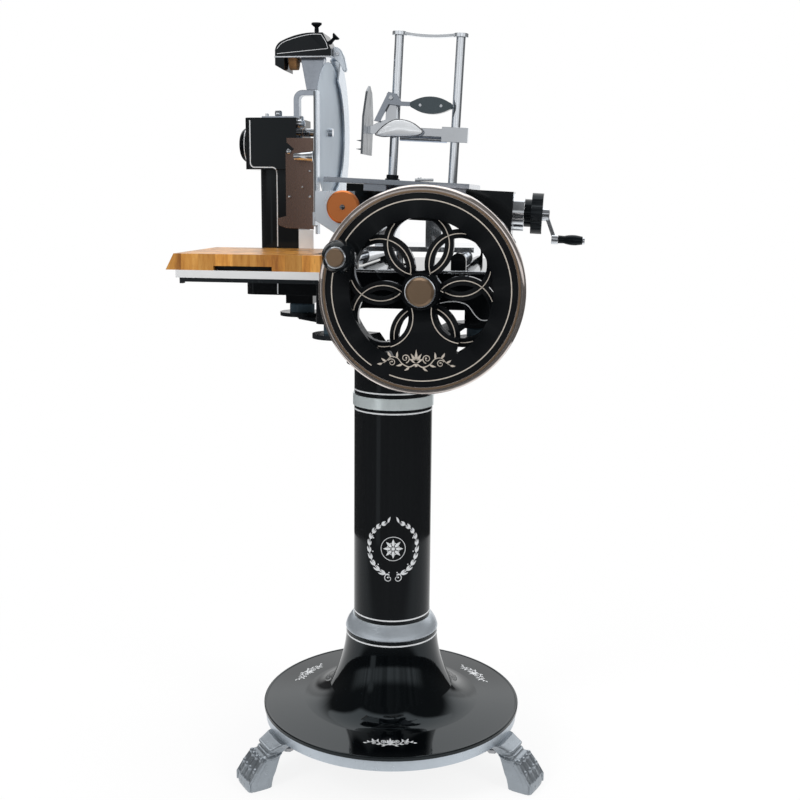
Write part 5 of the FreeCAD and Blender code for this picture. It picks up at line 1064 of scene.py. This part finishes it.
def make_floor():
    mesh = bpy.data.meshes.new("floor")
    angles = [2 * math.pi * step / FLOOR_SIDES for step in range(FLOOR_SIDES)]
    rim = [(FLOOR_REACH * math.cos(angle), FLOOR_REACH * math.sin(angle), 0) for angle in angles]
    mesh.from_pydata(rim, [], [tuple(range(FLOOR_SIDES))])
    mesh.materials.append(floor_material())
    floor = bpy.data.objects.new("floor", mesh)
    bpy.context.scene.collection.objects.link(floor)


FILL_LEVEL, GLARE_LEVEL, CEILING_LEVEL = 0.75, 1.45, 1.5
WALL_FOOT, WALL_LEVEL, WALL_TOP, WINDOW_LEVEL = 0.06, 0.75, 0.12, 0.6
SIDE_FOOT, SIDE_LEVEL = 0.05, 0.10


def room_wall(g, x, y, z):
    """Towards the camera: dark below eye level, a bright streaky band above it, a window at the left."""
    band = g.eased(z, -0.03, 0.03, WALL_FOOT, WALL_LEVEL)
    wall = g.mix("FLOAT", g.eased(z, 0.14, 0.28, 0.0, 1.0), band, WALL_TOP)
    slope = g.math("DIVIDE", x, g.math("ABSOLUTE", y, 0))
    streak = g.node("ShaderNodeTexNoise", noise_dimensions="1D")
    streak.inputs["Scale"].default_value = 4.0
    streak.inputs["Detail"].default_value = 2.0
    g.join(slope, streak.inputs["W"])
    wall = g.math("MULTIPLY", wall, g.eased(streak.outputs["Fac"], 0.35, 0.65, 0.65, 1.35))
    window = g.eased(slope, -0.95, -0.80, 0.0, WINDOW_LEVEL)
    window = g.math("MULTIPLY", window, g.eased(slope, -0.60, -0.48, 1.0, 0.0))
    return g.math("MAXIMUM", wall, g.math("MULTIPLY", window, g.eased(z, 0.25, 0.40, 1.0, 0.0)))


def ceiling_lamp(g, x, y, z):
    """A wide lamp overhead, faint towards the camera."""
    lamp = g.math("MULTIPLY", g.eased(x, -0.62, -0.50, 0.0, CEILING_LEVEL), g.eased(x, 0.30, 0.42, 1.0, 0.0))
    lamp = g.math("MULTIPLY", lamp, g.eased(y, -0.38, -0.18, 0.05, 1.0))
    return g.math("MULTIPLY", lamp, g.eased(z, 0.62, 0.70, 0.0, 1.0))


def make_world():
    """The studio: white to the camera, soft even fill, and a room with soft lamps in reflections."""
    world = bpy.data.worlds.new("studio")
    bpy.context.scene.world = world
    world.use_nodes = True
    g = Graph(world.node_tree)
    x, y, z = g.split(g.node("ShaderNodeTexCoord").outputs["Generated"])
    near, high = g.eased(y, 0.87, 0.97, 0.0, 1.0), g.eased(y, 0.40, 0.75, 0.0, 1.0)
    beyond = g.mix("FLOAT", g.eased(z, 0.12, 0.26, 0.0, 1.0), near, high)
    sides = g.mix("FLOAT", g.eased(z, -0.10, 0.10, 0.0, 1.0), SIDE_FOOT, SIDE_LEVEL)
    around = g.mix("FLOAT", g.eased(y, -0.55, -0.10, 1.0, 0.0), sides, room_wall(g, x, y, z))
    room = g.mix("FLOAT", beyond, around, g.eased(z, 0.34, 0.42, 1.0, GLARE_LEVEL))
    mirrored = g.math("MAXIMUM", room, ceiling_lamp(g, x, y, z))
    path = g.node("ShaderNodeLightPath").outputs
    sharp = g.math("MAXIMUM", path["Is Glossy Ray"], path["Is Transmission Ray"])
    unseen = g.mix("FLOAT", sharp, FILL_LEVEL, mirrored)
    sky = g.node("ShaderNodeBackground")
    sky.inputs["Color"].default_value = (1, 1, 1, 1)
    g.join(g.mix("FLOAT", path["Is Camera Ray"], unseen, 1.0), sky.inputs["Strength"])
    g.join(sky.outputs[0], g.node("ShaderNodeOutputWorld").inputs[0])


MIDDLE = (0, 0, 0.8)


def add_light(name, place, size, power):
    """A soft lamp that looks at the middle of the machine and stays out of reflections."""
    lamp = bpy.data.lights.new(name, "AREA")
    lamp.shape = "RECTANGLE"
    lamp.size, lamp.size_y = size
    lamp.energy = power
    lamp_object = bpy.data.objects.new(name, lamp)
    lamp_object.location = place
    away = Vector(place) - Vector(MIDDLE)
    lamp_object.rotation_euler = away.to_track_quat("Z", "Y").to_euler()
    lamp_object.visible_glossy = False
    bpy.context.scene.collection.objects.link(lamp_object)


AZIMUTH, PITCH, ROLL = math.radians(8.3), math.radians(10.56), math.radians(0.5)
DISTANCE, HEIGHT, SIDEWAYS = 2.130, 1.134, 0.013
FOCAL_PIXELS, FRAME_PIXELS, SENSOR = 1100, 800, 36.0


def make_camera():
    """The eye of the product picture: a little above the table, slightly from the right."""
    right = Vector((math.cos(AZIMUTH), math.sin(AZIMUTH), 0))
    ahead = Vector((-math.sin(AZIMUTH), math.cos(AZIMUTH), 0))
    look = ahead * math.cos(PITCH) - Vector((0, 0, math.sin(PITCH)))
    up = right.cross(look)
    across = right * math.cos(ROLL) + up * math.sin(ROLL)
    upright = up * math.cos(ROLL) - right * math.sin(ROLL)
    place = right * SIDEWAYS - ahead * DISTANCE + Vector((0, 0, HEIGHT))
    lens = bpy.data.cameras.new("camera")
    lens.sensor_width = SENSOR
    lens.lens = FOCAL_PIXELS * SENSOR / FRAME_PIXELS
    camera = bpy.data.objects.new("camera", lens)
    turn = Matrix((across, upright, -look)).transposed().to_4x4()
    camera.matrix_world = Matrix.Translation(place) @ turn
    bpy.context.scene.collection.objects.link(camera)
    bpy.context.scene.camera = camera


make_floor()
make_world()
make_camera()
add_light("key", (-1.8, -2.2, 2.6), (0.9, 1.3), 40)
add_light("fill", (2.4, -1.4, 1.9), (0.7, 1.6), 24)
add_light("top", (0.2, 0.4, 3.4), (2.0, 1.4), 34)
bpy.context.scene.view_settings.view_transform = "Standard"
